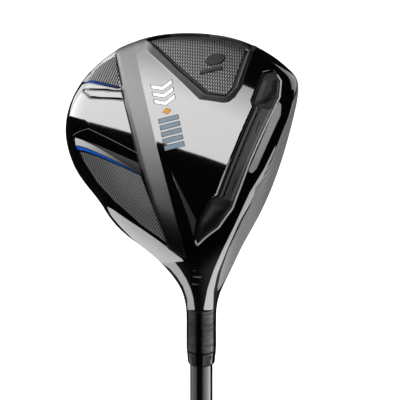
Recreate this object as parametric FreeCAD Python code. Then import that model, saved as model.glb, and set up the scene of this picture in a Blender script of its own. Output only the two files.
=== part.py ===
import FreeCAD, Part
import math
import os

# Fairway wood (number 3, right-handed), all sizes in millimetres and degrees.
#
# Row frame: the origin is the centre of the grip cap's end face, +Z runs along the
# shaft axis towards the head, +X is the target direction (the face looks that way).
# Address frame, used for the head: x forward, y towards the heel, z up, with the
# origin where the shaft axis meets the ground.

# --- whole club ---
CLUB_LENGTH = 1098.5        # end of the grip to the ground point of the shaft axis
LIE = 56.5                  # shaft axis above the ground
LOFT = 15.0                 # face normal above the ground, at the middle of the face

# --- head outline, seen from above ---
PLAN_X = -26.0              # centre from which the plan radii are measured
PLAN_Y = -37.0
# Plan radii every 30 degrees: front, toe-front, ..., toe (4th), rear (7th), heel (10th).
PLAN_RADII = (58.0, 55.0, 51.0, 48.0, 47.5, 44.5, 41.0, 38.0, 38.0, 49.0, 53.0, 49.0)
SKIRT_WIDEST_HEIGHT = 17.0
SKIRT_BULGE_RADIUS = 70.0

# --- sole, crown and face surfaces ---
SOLE_LOW_X = -18.0
SOLE_LOW_Y = -36.0
SOLE_RADIUS_X = 260.0
SOLE_RADIUS_Y = 210.0
CROWN_HEIGHT = 38.5
CROWN_TOP_X = -4.0
CROWN_TOP_Y = -43.0
CROWN_FALL_REAR = 0.0062    # fall per square millimetre behind the top
CROWN_FALL_FRONT = 0.0060
CROWN_FALL_SIDE = 0.0062
FACE_RADIUS = 280.0         # bulge and roll
LEADING_EDGE_X = 23.3
LEADING_EDGE_Y = -46.0
LEADING_EDGE_HEIGHT = 2.0
FACE_CENTRE_UP = 17.5       # face centre above the leading edge, along the face

# --- roundings between the surfaces ---
ROUND_CROWN = 3.0
ROUND_FACE = 3.5
ROUND_SOLE = 9.0
ROUND_LEADING_EDGE = 4.5
ROUND_NECK = 31.0

# --- hosel and shaft tip ---
SHAFT_TIP_RADIUS = 4.25
BOND_GAP = 0.12             # adhesive round the shaft tip
HOSEL_WALL = 1.23           # steel round the bore at the hosel's end
HOSEL_RADIUS = SHAFT_TIP_RADIUS + BOND_GAP + HOSEL_WALL
HOSEL_TOP = 61.3            # from the ground point, along the shaft axis
INSERTION = 38.0            # shaft in the hosel
TUBE_WALL = 1.3             # steel round the bore inside the head
PLUG_THICKNESS = 3.0
TIP_FLANGE = 1.2
TIP_FLANGE_RADIUS = SHAFT_TIP_RADIUS - 0.65
TIP_PIN_LENGTH = 22.0

# --- walls of the head ---
SOLE_WALL = 2.0
SKIRT_WALL = 1.3
CROWN_WALL = 2.0
FACE_WALL = 1.9
NECK_WALL = 1.4
CAVITY_END = 0.62           # share of the turn from sole to shaft at which the hollow ends

# --- crown panel ---
PANEL_INSET = 6.5           # panel edge inside the plan outline
PANEL_THICKNESS = 0.9
PANEL_BOND = 0.2
PANEL_EDGE_GAP = 0.15
LEDGE_WIDTH = 4.5
PANEL_FRONT_X = 11.0
PANEL_HEEL_Y = -6.0
PANEL_HEEL_CUT = (6.0, 12.0)    # bevelled corner between the front and the heel side
PANEL_TOE_CUT = 5.0
PANEL_CURVE = (46.0, 262.0)     # the rear edge follows the plan outline between these angles
PANEL_CURVE_POINTS = 15

# --- face plate ---
FACE_TOE_Y = -74.0
FACE_HEEL_Y = -6.0
FACE_LOW_Z = 7.0
FACE_HIGH_Z = CROWN_HEIGHT - 5.5
FACE_TOE_TOP_Z = CROWN_HEIGHT - 12.5
FACE_HEEL_TOP_Z = CROWN_HEIGHT - 13.5
FACE_TOE_CUT = 4.0          # how far the lower toe corner lies inside the toe end
FACE_HEEL_CUT = 3.0
FACE_EDGE_BOW = 0.8         # half the bow of the lower edge
FACE_CORNER = 7.0
FACE_BACK_X = 7.0
LINE_COUNT = 8
LINE_PITCH = 2.7
LINE_WIDTH = 0.8
LINE_DEPTH = 0.35
LINE_LOW_Z = 9.5
LINE_END_MARGIN = 8.0

# --- sole features, outlines in plan (x, y) ---
SLOT_OUTLINE = ((7.2, -62.5), (10.7, -65.0), (14.8, -60.0), (16.4, -52.0), (15.7, -44.0),
                (10.8, 0.0), (7.5, 8.5), (1.2, 15.8), (-0.4, 13.8), (0.2, 6.0), (2.2, -1.8),
                (4.6, -3.6), (8.2, -45.0), (6.8, -48.0))
SLOT_CORNER = 1.2
SLOT_BOND = 0.15
SLOT_RECESS = 0.5
SLOT_DEPTH = 3.4
SLOT_THROUGH = 1.0          # the slot is cut this much deeper than the insert
POCKET_OUTLINE = ((-41.0, -73.0), (-24.7, -58.8), (-10.8, -48.4), (-3.2, -48.4), (-1.2, -53.0),
                  (-2.4, -76.5), (-20.0, -79.0), (-34.0, -77.2))
POCKET_CORNER = 1.5
POCKET_DEPTH = 2.0
POCKET_BACKING = 1.3        # steel behind the pocket floor
BADGE_THICKNESS = 0.8
BADGE_TAPE = 0.3
BADGE_EDGE_GAP = 0.2
HEEL_RELIEF = ((-54.8, -18.0), (-26.8, -8.0), (-12.0, 15.8), (-22.3, 10.9), (-35.0, 2.6), (-45.1, -6.5))
TOE_RELIEF = ((-46.8, -49.0), (-60.2, -52.4), (-57.5, -60.0), (-53.6, -64.5))
RELIEF_CORNER = 1.0
RELIEF_DEPTH = 0.5

# --- glue drop inside the head ---
GLUE_X = -44.0
GLUE_Y = -30.0
GLUE_RADIUS = 16.0
GLUE_SINK = 9.0             # centre of the drop's ball, below the ground plane

# --- ferrule ---
FERRULE_LENGTH = 6.0
FERRULE_WALL = 0.85         # at the thin end
FERRULE_END_RADIUS = SHAFT_TIP_RADIUS + FERRULE_WALL
FERRULE_TIP_ROUND = 0.7
FERRULE_STEP = 0.1          # the ferrule's fatter end stands this much inside the hosel
FERRULE_STEP_LENGTH = 1.5

# --- shaft ---
SHAFT_BUTT_RADIUS = 7.62
SHAFT_TIP_PARALLEL = 110.0
SHAFT_BUTT_PARALLEL = 300.0
SHAFT_TIP_BORE = 2.2
SHAFT_BUTT_BORE = 6.4

# --- grip ---
GRIP_LENGTH = 267.0
GRIP_BUTT_RADIUS = 13.3
GRIP_MOUTH_RADIUS = 9.0
GRIP_END_ROUND = 1.2
GRIP_FLARE = 1.5            # power of the curve that widens the grip towards its butt
GRIP_STATIONS = 12
CAP_THICKNESS = 3.4
VENT_RADIUS = 1.1
TAPE_THICKNESS = 0.35
TAPE_MARGIN = 4.0

# --- how the head surface is described ---
SECTIONS = 46
DIRECTIONS = 84
TURNING_SHARE = 0.34        # share of the sections that turn from upright to square with the shaft
RAY_SPREAD = 2.0            # rays lie closer to the ground plane in the wide sections
CROWN_SLOPE = 0.95          # height above the crown times this is about the distance to it
FRONT_BLEND = 16.0          # the sole's rounding tightens over this distance towards the face
FAN_Y = -22.0               # the section planes turn about this line, above the crown
FAN_Z = 72.0
SPINE_HEIGHT = 16.0
TIP_FLAT = 0.05

SHIFT_FAR = 60.0            # longer than any cut through the head
BELOW_SOLE = -12.0
INSIDE_HEIGHT = 12.0        # a level between the sole and the crown everywhere
ABOVE_SOLE = 18.0

BORE_RADIUS = SHAFT_TIP_RADIUS + BOND_GAP
SHAFT_TIP_Z = CLUB_LENGTH - HOSEL_TOP + INSERTION
HOSEL_TOP_Z = CLUB_LENGTH - HOSEL_TOP

V = FreeCAD.Vector
AXIS_Y = math.cos(math.radians(LIE))
AXIS_Z = math.sin(math.radians(LIE))
FACE_NORMAL = V(math.cos(math.radians(LOFT)), 0.0, math.sin(math.radians(LOFT)))
NO_WALLS = {"sole": 0.0, "crown": 0.0, "skirt": 0.0, "face": 0.0, "neck": 0.0}
STEEL_WALLS = {"sole": SOLE_WALL, "crown": CROWN_WALL, "skirt": SKIRT_WALL,
               "face": FACE_WALL, "neck": NECK_WALL}


def address_to_row():
    """Placement that turns the head from the address frame into the row frame."""
    turn = FreeCAD.Rotation(V(1.0, 0.0, 0.0), 270.0 - LIE)
    return FreeCAD.Placement(V(0.0, 0.0, CLUB_LENGTH), turn)


# ---------------------------------------------------------------- head surface

def smooth_max(a, b, width):
    """The larger of two values, rounded where they are within width of each other."""
    share = max(width - abs(a - b), 0.0) / width
    return max(a, b) + share * share * width * 0.25


def smooth_min(a, b, width):
    return -smooth_max(-a, -b, width)


def plan_radius(angle):
    """Plan radius at an angle from +x towards the toe, smooth through PLAN_RADII."""
    count = len(PLAN_RADII)
    place = (angle % (2.0 * math.pi)) / (2.0 * math.pi) * count
    index = int(place) % count
    t = place - int(place)
    before, here, after, beyond = [PLAN_RADII[(index + step) % count] for step in (-1, 0, 1, 2)]
    linear = (after - before) * t
    square = (2.0 * before - 5.0 * here + 4.0 * after - beyond) * t * t
    cube = (3.0 * here - before - 3.0 * after + beyond) * t ** 3
    return 0.5 * (2.0 * here + linear + square + cube)


def face_sphere_centre():
    up = V(-FACE_NORMAL.z, 0.0, FACE_NORMAL.x)
    middle = V(LEADING_EDGE_X, LEADING_EDGE_Y, LEADING_EDGE_HEIGHT) + up * FACE_CENTRE_UP
    return middle - FACE_NORMAL * FACE_RADIUS


SPHERE = face_sphere_centre()


def head_value(x, y, z, walls):
    """Negative inside the head and positive outside, about the distance to its surface.

    walls moves each surface inwards, which gives the hollow of the cast shell.
    """
    sole = (x - SOLE_LOW_X) ** 2 / (2.0 * SOLE_RADIUS_X) + (y - SOLE_LOW_Y) ** 2 / (2.0 * SOLE_RADIUS_Y)
    to_sole = sole - z + walls["sole"]
    ahead = x - CROWN_TOP_X
    fall = CROWN_FALL_FRONT if ahead > 0.0 else CROWN_FALL_REAR
    crown = CROWN_HEIGHT - fall * ahead * ahead - CROWN_FALL_SIDE * (y - CROWN_TOP_Y) ** 2
    to_crown = (z - crown) * CROWN_SLOPE + walls["crown"]
    dx = x - PLAN_X
    dy = y - PLAN_Y
    bulge = (z - SKIRT_WIDEST_HEIGHT) ** 2 / (2.0 * SKIRT_BULGE_RADIUS)
    to_skirt = math.hypot(dx, dy) - plan_radius(math.atan2(-dy, dx)) + bulge + walls["skirt"]
    to_face = math.sqrt((x - SPHERE.x) ** 2 + (y - SPHERE.y) ** 2 + (z - SPHERE.z) ** 2) - FACE_RADIUS
    to_face += walls["face"]
    along = y * AXIS_Y + z * AXIS_Z
    off_axis = math.sqrt(x * x + (y - along * AXIS_Y) ** 2 + (z - along * AXIS_Z) ** 2)
    body = smooth_max(smooth_max(to_skirt, to_crown, ROUND_CROWN), to_face, ROUND_FACE)
    body = smooth_min(body, off_axis - HOSEL_RADIUS + walls["neck"], ROUND_NECK)
    front = min(max(0.5 + (to_face - to_skirt) / FRONT_BLEND, 0.0), 1.0)
    front = front * front * (3.0 - 2.0 * front)
    return smooth_max(body, to_sole, ROUND_SOLE + (ROUND_LEADING_EDGE - ROUND_SOLE) * front)


def first_outside(start, direction, walls):
    """The surface point on a ray that starts inside the head."""
    near = 0.0
    far = 95.0
    for _ in range(24):
        middle = 0.5 * (near + far)
        point = start + direction * middle
        if head_value(point.x, point.y, point.z, walls) < 0.0:
            near = middle
        else:
            far = middle
    return start + direction * far


def toe_tip(walls):
    """The toe-most point, at the skirt's widest height."""
    best = None
    for step in range(61):
        angle = math.radians(60.0 + step)
        start = V(PLAN_X, PLAN_Y, SKIRT_WIDEST_HEIGHT)
        point = first_outside(start, V(math.cos(angle), -math.sin(angle), 0.0), walls)
        if best is None or point.y < best.y:
            best = point
    return best


def section_frames(walls, end_share):
    """Origins and up directions of the planes that cut the head into sections.

    Upright planes run from the toe to FAN_Y, then planes turn about the fan line
    until they are square to the shaft, then they follow the shaft to the hosel top.
    """
    tip = toe_tip(walls)
    upright = SECTIONS // 2
    turning = int(SECTIONS * TURNING_SHARE)
    straight = SECTIONS - upright - turning
    frames = []
    for index in range(upright):
        reach = math.sin((1.0 - index / upright) * math.pi / 2.0)
        bend = reach ** 3
        y = FAN_Y + (tip.y + TIP_FLAT - FAN_Y) * reach
        origin = V(PLAN_X + (tip.x - PLAN_X) * bend, y, SPINE_HEIGHT + (tip.z - SPINE_HEIGHT) * bend)
        frames.append((origin, V(0.0, 0.0, 1.0), RAY_SPREAD - bend))
    meet = FAN_Y * AXIS_Y + FAN_Z * AXIS_Z
    reach_low = FAN_Z - SPINE_HEIGHT
    reach_high = math.hypot(FAN_Y - meet * AXIS_Y, FAN_Z - meet * AXIS_Z)
    for index in range(turning):
        share = index / turning
        turn = math.radians(LIE) * share
        reach = reach_low * (1.0 - share) + reach_high * share
        x = PLAN_X * (1.0 - share) ** 2
        origin = V(x, FAN_Y + math.sin(turn) * reach, FAN_Z - math.cos(turn) * reach)
        frames.append((origin, V(0.0, -math.sin(turn), math.cos(turn)), RAY_SPREAD - share))
        if share >= end_share:
            return frames
    for index in range(straight):
        along = meet + (HOSEL_TOP - meet) * index / (straight - 1)
        frames.append((V(0.0, along * AXIS_Y, along * AXIS_Z), V(0.0, -AXIS_Z, AXIS_Y), 1.0))
    return frames


def head_net(walls, end_share):
    """Rows of surface points, one row for each section plane."""
    rows = []
    for origin, up, wide in section_frames(walls, end_share):
        row = []
        for index in range(DIRECTIONS):
            angle = 2.0 * math.pi * index / DIRECTIONS
            direction = V(wide * math.cos(angle), 0.0, 0.0) + up * math.sin(angle)
            row.append(first_outside(origin, direction.normalize(), walls))
        rows.append(row)
    return rows


def sharpened(row):
    """Poles whose cubic B-spline passes close to the points of a closed row."""
    count = len(row)
    return [row[i] * (4.0 / 3.0) - (row[i - 1] + row[(i + 1) % count]) * (1.0 / 6.0) for i in range(count)]


def head_solid(walls, end_share=2.0):
    """The closed solid inside the head surface: one smooth skin and two flat ends."""
    rows = [sharpened(row) for row in head_net(walls, end_share)]
    skin = Part.BSplineSurface()
    u_knots = list(range(len(rows) - 2))
    u_mults = [4] + [1] * (len(u_knots) - 2) + [4]
    v_knots = list(range(DIRECTIONS + 1))
    v_mults = [1] * (DIRECTIONS + 1)
    skin.buildFromPolesMultsKnots(rows, u_mults, v_mults, u_knots, v_knots, False, True, 3, 3)
    side = skin.toShape()
    rims = [edge for edge in side.Edges if edge.isClosed() and not edge.isSeam(side)]
    caps = [Part.Face(Part.Wire([edge])) for edge in rims]
    shell = Part.makeShell([side] + caps)
    shell.sewShape()
    solid = Part.makeSolid(shell)
    if solid.Volume < 0.0:
        solid.reverse()
    return solid


# ---------------------------------------------------------------- outlines

def rounded_wire(points, radius):
    """A closed wire through the corner points, each corner an arc of the given radius."""
    count = len(points)
    edges = []
    ends = []
    for index in range(count):
        corner = points[index]
        back = (points[index - 1] - corner)
        ahead = (points[(index + 1) % count] - corner)
        half = back.getAngle(ahead) / 2.0
        setback = min(radius / math.tan(half), 0.45 * back.Length, 0.45 * ahead.Length)
        reach = setback / math.cos(half)
        back.normalize()
        ahead.normalize()
        inward = (back + ahead).normalize()
        bow = reach - setback * math.tan(half)
        start = corner + back * setback
        end = corner + ahead * setback
        edges.append(Part.Arc(start, corner + inward * bow, end).toShape())
        ends.append((start, end))
    for index in range(count):
        edges.append(Part.makeLine(ends[index - 1][1], ends[index][0]))
    return Part.Wire(Part.__sortEdges__(edges))


def plan_prism(outline, corner, low, high, grow=0.0):
    """An upright prism over a plan outline, with its sides moved out by grow."""
    wire = rounded_wire([V(x, y, low) for x, y in outline], corner)
    if grow:
        wire = wire.makeOffset2D(grow)
    return Part.Face(wire).extrude(V(0.0, 0.0, high - low))


def shifted(solid, move):
    copy = solid.copy()
    copy.translate(move)
    return copy


def raised(solid, height):
    return shifted(solid, V(0.0, 0.0, height))


def sole_cutter(outer, outline, corner, depth, grow=0.0):
    """Everything under the sole surface moved up by depth, inside the outline."""
    prism = plan_prism(outline, corner, BELOW_SOLE, ABOVE_SOLE, grow)
    return prism.cut(raised(outer, depth))


def sole_layer(outer, outline, corner, low, high, grow):
    """A sheet that follows the sole between two depths, inside the outline."""
    prism = plan_prism(outline, corner, BELOW_SOLE, ABOVE_SOLE, grow)
    return prism.common(raised(outer, low)).cut(raised(outer, high))


def panel_prism(inset, low, high):
    """An upright prism over the crown panel's outline."""
    first, last = [math.radians(angle) for angle in PANEL_CURVE]
    curve = []
    for index in range(PANEL_CURVE_POINTS):
        angle = first + (last - first) * index / (PANEL_CURVE_POINTS - 1)
        radius = plan_radius(angle) - inset
        curve.append(V(PLAN_X + radius * math.cos(angle), PLAN_Y - radius * math.sin(angle), low))
    rear = Part.BSplineCurve()
    rear.interpolate(curve)
    slack = inset - PANEL_INSET
    heel = V(PANEL_FRONT_X - PANEL_HEEL_CUT[0] - slack, PANEL_HEEL_Y - slack, low)
    front = V(PANEL_FRONT_X - slack, PANEL_HEEL_Y - PANEL_HEEL_CUT[1] - slack, low)
    toe = V(PANEL_FRONT_X - slack, curve[0].y + PANEL_TOE_CUT, low)
    edges = [rear.toShape()]
    corners = [curve[-1], heel, front, toe, curve[0]]
    for start, end in zip(corners, corners[1:]):
        edges.append(Part.makeLine(start, end))
    return Part.Face(Part.Wire(edges)).extrude(V(0.0, 0.0, high - low))


def face_prism():
    """A prism along x over the face plate's outline."""
    middle_y = (FACE_TOE_Y + FACE_HEEL_Y) / 2.0
    corners = ((FACE_TOE_Y + FACE_TOE_CUT, FACE_LOW_Z + FACE_EDGE_BOW),
               (middle_y, FACE_LOW_Z - FACE_EDGE_BOW),
               (FACE_HEEL_Y - FACE_HEEL_CUT / 3.0, FACE_LOW_Z + FACE_EDGE_BOW),
               (FACE_HEEL_Y - FACE_HEEL_CUT, FACE_HEEL_TOP_Z),
               (middle_y - FACE_TOE_CUT / 2.0, FACE_HIGH_Z),
               (FACE_TOE_Y, FACE_TOE_TOP_Z))
    wire = rounded_wire([V(FACE_BACK_X, y, z) for y, z in corners], FACE_CORNER)
    return Part.Face(wire).extrude(V(SHIFT_FAR, 0.0, 0.0))


# ---------------------------------------------------------------- head pieces

def shaft_cylinder(radius, start, end):
    """A cylinder on the shaft axis in the address frame, from start to end along it."""
    base = V(0.0, start * AXIS_Y, start * AXIS_Z)
    return Part.makeCylinder(radius, end - start, base, V(0.0, AXIS_Y, AXIS_Z))


def head_hollow(outer):
    """The space inside the cast shell, round the hosel tube and the pocket's backing."""
    hollow = head_solid(STEEL_WALLS, CAVITY_END)
    hollow = hollow.cut(shaft_cylinder(BORE_RADIUS + TUBE_WALL, -10.0, HOSEL_TOP))
    backing = sole_cutter(outer, POCKET_OUTLINE, POCKET_CORNER, POCKET_DEPTH + POCKET_BACKING, POCKET_BACKING)
    return hollow.cut(backing)


def bore_floor():
    return HOSEL_TOP - INSERTION - TIP_FLANGE - PLUG_THICKNESS


def head_body(outer, hollow):
    body = outer.cut(hollow)
    body = body.cut(shaft_cylinder(BORE_RADIUS, bore_floor(), HOSEL_TOP + 5.0))
    body = body.cut(face_prism())
    seat = panel_prism(PANEL_INSET, INSIDE_HEIGHT, SHIFT_FAR)
    seat = seat.cut(raised(outer, -PANEL_THICKNESS - PANEL_BOND))
    body = body.cut(seat)
    body = body.cut(panel_prism(PANEL_INSET + LEDGE_WIDTH, INSIDE_HEIGHT, SHIFT_FAR))
    body = body.cut(sole_cutter(outer, SLOT_OUTLINE, SLOT_CORNER, SLOT_DEPTH + SLOT_THROUGH))
    body = body.cut(sole_cutter(outer, POCKET_OUTLINE, POCKET_CORNER, POCKET_DEPTH))
    for outline in (HEEL_RELIEF, TOE_RELIEF):
        body = body.cut(sole_cutter(outer, outline, RELIEF_CORNER, RELIEF_DEPTH))
    return body


def face_plate(outer):
    plate = face_prism().common(outer).cut(shifted(outer, FACE_NORMAL * -FACE_WALL))
    skin = shifted(outer, FACE_NORMAL * -LINE_DEPTH)
    length = FACE_HEEL_Y - FACE_TOE_Y - 2.0 * LINE_END_MARGIN
    for index in range(LINE_COUNT):
        low = LINE_LOW_Z + index * LINE_PITCH
        slab = Part.makeBox(SHIFT_FAR, length, LINE_WIDTH, V(0.0, FACE_TOE_Y + LINE_END_MARGIN, low))
        plate = plate.cut(slab.cut(skin))
    return plate


def crown_panel(outer):
    prism = panel_prism(PANEL_INSET + PANEL_EDGE_GAP, INSIDE_HEIGHT, SHIFT_FAR)
    return prism.common(outer).cut(raised(outer, -PANEL_THICKNESS))


def crown_bond(outer):
    prism = panel_prism(PANEL_INSET + PANEL_EDGE_GAP, INSIDE_HEIGHT, SHIFT_FAR)
    ring = prism.cut(panel_prism(PANEL_INSET + LEDGE_WIDTH, INSIDE_HEIGHT, SHIFT_FAR))
    film = ring.common(raised(outer, -PANEL_THICKNESS))
    return film.cut(raised(outer, -PANEL_THICKNESS - PANEL_BOND))


def slot_insert(outer):
    return sole_layer(outer, SLOT_OUTLINE, SLOT_CORNER, SLOT_RECESS, SLOT_DEPTH, -SLOT_BOND)


def slot_bond(outer):
    whole = sole_layer(outer, SLOT_OUTLINE, SLOT_CORNER, SLOT_RECESS, SLOT_DEPTH, 0.0)
    return whole.cut(plan_prism(SLOT_OUTLINE, SLOT_CORNER, BELOW_SOLE, SHIFT_FAR, -SLOT_BOND))


def toe_badge(outer):
    top = POCKET_DEPTH - BADGE_TAPE
    return sole_layer(outer, POCKET_OUTLINE, POCKET_CORNER, top - BADGE_THICKNESS, top, -BADGE_EDGE_GAP)


def badge_tape(outer):
    top = POCKET_DEPTH - BADGE_TAPE
    return sole_layer(outer, POCKET_OUTLINE, POCKET_CORNER, top, POCKET_DEPTH, -BADGE_EDGE_GAP)


def glue_drop(hollow):
    return hollow.common(Part.makeSphere(GLUE_RADIUS, V(GLUE_X, GLUE_Y, -GLUE_SINK + SOLE_WALL)))


def hosel_plug():
    return shaft_cylinder(BORE_RADIUS, bore_floor(), bore_floor() + PLUG_THICKNESS)


# ---------------------------------------------------------------- round pieces

def turned(points):
    """A solid of revolution about the shaft axis; points are (radius, Z)."""
    corners = [V(radius, 0.0, height) for radius, height in points]
    wire = Part.makePolygon(corners + corners[:1])
    return Part.Face(wire).revolve(V(0.0, 0.0, 0.0), V(0.0, 0.0, 1.0), 360.0)


def shaft():
    taper_start = SHAFT_TIP_Z - SHAFT_TIP_PARALLEL
    outline = [(SHAFT_BUTT_BORE, CAP_THICKNESS), (SHAFT_BUTT_RADIUS, CAP_THICKNESS),
               (SHAFT_BUTT_RADIUS, SHAFT_BUTT_PARALLEL), (SHAFT_TIP_RADIUS, taper_start),
               (SHAFT_TIP_RADIUS, SHAFT_TIP_Z), (SHAFT_TIP_BORE, SHAFT_TIP_Z),
               (SHAFT_TIP_BORE, taper_start), (SHAFT_BUTT_BORE, SHAFT_BUTT_PARALLEL)]
    return turned(outline)


def tip_weight():
    outline = [(0.0, SHAFT_TIP_Z - TIP_PIN_LENGTH), (SHAFT_TIP_BORE, SHAFT_TIP_Z - TIP_PIN_LENGTH),
               (SHAFT_TIP_BORE, SHAFT_TIP_Z), (TIP_FLANGE_RADIUS, SHAFT_TIP_Z),
               (TIP_FLANGE_RADIUS, SHAFT_TIP_Z + TIP_FLANGE), (0.0, SHAFT_TIP_Z + TIP_FLANGE)]
    return turned(outline)


def shaft_bond():
    return turned([(SHAFT_TIP_RADIUS, HOSEL_TOP_Z), (BORE_RADIUS, HOSEL_TOP_Z),
                   (BORE_RADIUS, SHAFT_TIP_Z), (SHAFT_TIP_RADIUS, SHAFT_TIP_Z)])


def ferrule():
    low = HOSEL_TOP_Z - FERRULE_LENGTH
    round_end = FERRULE_TIP_ROUND
    return turned([(SHAFT_TIP_RADIUS, low), (FERRULE_END_RADIUS - round_end, low),
                   (FERRULE_END_RADIUS, low + 1.4 * round_end),
                   (HOSEL_RADIUS - FERRULE_STEP, HOSEL_TOP_Z - FERRULE_STEP_LENGTH),
                   (HOSEL_RADIUS, HOSEL_TOP_Z), (SHAFT_TIP_RADIUS, HOSEL_TOP_Z)])


def grip_outer(height):
    """Outside radius of the grip at a height above its butt end."""
    share = (height - CAP_THICKNESS) / (GRIP_LENGTH - CAP_THICKNESS)
    return GRIP_MOUTH_RADIUS + (GRIP_BUTT_RADIUS - GRIP_MOUTH_RADIUS) * (1.0 - share) ** GRIP_FLARE


def grip():
    inner = SHAFT_BUTT_RADIUS + TAPE_THICKNESS
    outline = [(inner, CAP_THICKNESS)]
    for index in range(GRIP_STATIONS):
        height = CAP_THICKNESS + (GRIP_LENGTH - CAP_THICKNESS - GRIP_END_ROUND) * index / (GRIP_STATIONS - 1)
        outline.append((grip_outer(height), height))
    outline.append((GRIP_MOUTH_RADIUS - GRIP_END_ROUND / 2.0, GRIP_LENGTH))
    outline.append((inner, GRIP_LENGTH))
    return turned(outline)


def grip_cap():
    cap = turned([(VENT_RADIUS, 0.0), (GRIP_BUTT_RADIUS - GRIP_END_ROUND, 0.0),
                  (GRIP_BUTT_RADIUS - 0.3 * GRIP_END_ROUND, 0.3 * GRIP_END_ROUND),
                  (GRIP_BUTT_RADIUS, GRIP_END_ROUND), (GRIP_BUTT_RADIUS, CAP_THICKNESS),
                  (VENT_RADIUS, CAP_THICKNESS)])
    return cap


def grip_tape():
    inner = SHAFT_BUTT_RADIUS
    outer = inner + TAPE_THICKNESS
    return turned([(inner, CAP_THICKNESS), (outer, CAP_THICKNESS),
                   (outer, GRIP_LENGTH - TAPE_MARGIN), (inner, GRIP_LENGTH - TAPE_MARGIN)])


# ---------------------------------------------------------------- assembly

def head_pieces():
    outer = head_solid(NO_WALLS)
    hollow = head_hollow(outer)
    pieces = {
        "head_body": head_body(outer, hollow),
        "face_plate": face_plate(outer),
        "crown_panel": crown_panel(outer),
        "crown_bond": crown_bond(outer),
        "slot_insert": slot_insert(outer),
        "slot_bond": slot_bond(outer),
        "toe_badge": toe_badge(outer),
        "badge_tape": badge_tape(outer),
        "glue_drop": glue_drop(hollow),
        "hosel_plug": hosel_plug(),
    }
    place = address_to_row()
    for solid in pieces.values():
        solid.Placement = place.multiply(solid.Placement)
    return pieces


def shaft_pieces():
    return {
        "shaft": shaft(),
        "tip_weight": tip_weight(),
        "shaft_bond": shaft_bond(),
        "ferrule": ferrule(),
        "grip": grip(),
        "grip_cap": grip_cap(),
        "grip_tape": grip_tape(),
    }


def main():
    os.makedirs("parts", exist_ok=True)
    nodes = head_pieces()
    nodes.update(shaft_pieces())
    for name, solid in nodes.items():
        if not solid.isValid():
            print("not valid:", name)
        print("%-12s solids %d volume %9.1f" % (name, len(solid.Solids), solid.Volume))
        solid.exportStep("parts/%s.step" % name)


main()
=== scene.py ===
# %% [markdown]
# # A fairway wood, standing on its grip
#
# The club is a cast steel head with a bonded carbon crown, a welded face plate, a soft insert in a slot
# through the sole, a hollow graphite shaft, a small ferrule and a rubber grip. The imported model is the
# frame: it gives every place and size in metres, and the pieces made here are finer skins over its plain
# ones.

# %% Load the frame and note its box
import functools
import math

import bpy
import numpy as np
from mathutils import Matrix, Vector


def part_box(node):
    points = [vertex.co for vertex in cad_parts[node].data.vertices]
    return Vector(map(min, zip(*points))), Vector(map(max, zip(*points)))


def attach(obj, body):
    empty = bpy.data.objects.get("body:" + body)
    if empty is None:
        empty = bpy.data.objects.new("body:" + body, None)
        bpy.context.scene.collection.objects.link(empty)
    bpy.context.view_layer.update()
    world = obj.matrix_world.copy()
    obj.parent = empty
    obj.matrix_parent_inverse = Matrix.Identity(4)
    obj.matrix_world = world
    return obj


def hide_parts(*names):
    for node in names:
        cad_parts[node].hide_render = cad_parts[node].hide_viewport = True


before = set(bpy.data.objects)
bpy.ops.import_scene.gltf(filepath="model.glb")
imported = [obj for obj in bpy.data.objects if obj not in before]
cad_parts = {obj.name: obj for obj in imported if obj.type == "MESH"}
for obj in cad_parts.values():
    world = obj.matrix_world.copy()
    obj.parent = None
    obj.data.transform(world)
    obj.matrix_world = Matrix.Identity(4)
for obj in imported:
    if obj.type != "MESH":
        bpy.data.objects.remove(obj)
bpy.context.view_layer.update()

MM = 0.001

# %% [markdown]
# ## Two ways to say where a point is
#
# A club is designed at address, with the sole on the ground: x runs towards the target, y towards the heel
# and z up, in millimetres from the point where the shaft axis meets the ground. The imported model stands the
# club on its grip instead, with the shaft upright. One turn about x and one shift take the first frame into
# the second. The shift comes from the frame itself: the hosel's open end is the ferrule's top.

# %% From the address frame to the row frame
LIE = math.radians(56.5)
HOSEL_TOP = 61.3
GROUND_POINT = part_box("ferrule")[1][2] / MM + HOSEL_TOP
ALONG = np.array([0.0, math.cos(LIE), math.sin(LIE)])


def to_row(points):
    """Turn about x by 270 degrees less the lie, then lift to the ground point's height; metres come out."""
    x, y, z = points[..., 0], points[..., 1], points[..., 2]
    side = -y * math.sin(LIE) + z * math.cos(LIE)
    up = GROUND_POINT - y * math.cos(LIE) - z * math.sin(LIE)
    return np.stack([x, side, up], axis=-1) * MM


print("ground point of the shaft axis at %.1f mm" % GROUND_POINT)

# %% [markdown]
# ## The head as one formula
#
# The head could be sculpted, lofted or boxed out and subdivided. A mirror-black finish shows every dent, so
# the head is written as a formula instead: a value that is negative inside and positive outside. The sole
# is a shallow bowl, the crown a dome, the skirt a wall that follows the plan outline, the face a piece of a
# large ball, and the hosel a cylinder. Each joint between them is a smooth maximum or minimum, which is
# what a pattern maker's fillet is.

# %% The head formula
PLAN_CENTRE = (-26.0, -37.0)
PLAN_RADII = np.array([58.0, 55.0, 51.0, 48.0, 47.5, 44.5, 41.0, 38.0, 38.0, 49.0, 53.0, 49.0])
SOLE_LOW = (-18.0, -36.0)
SOLE_RADII = (260.0, 210.0)
CROWN_TOP = (-4.0, -43.0, 38.5)
FACE_RADIUS = 280.0
LOFT = math.radians(15.0)
FACE_NORMAL = np.array([math.cos(LOFT), 0.0, math.sin(LOFT)])
FACE_UP = np.array([-math.sin(LOFT), 0.0, math.cos(LOFT)])
LEADING_EDGE, HALF_FACE = np.array([23.3, -46.0, 2.0]), 17.5
FACE_MIDDLE = LEADING_EDGE + HALF_FACE * FACE_UP
FACE_BALL = FACE_MIDDLE - FACE_NORMAL * FACE_RADIUS
HOSEL_RADIUS = 5.6
CROWN_FALL_FRONT, CROWN_FALL, CROWN_SLANT = 0.0060, 0.0062, 0.95
SKIRT_HEIGHT, SKIRT_CURVE = 17.0, 140.0
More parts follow.
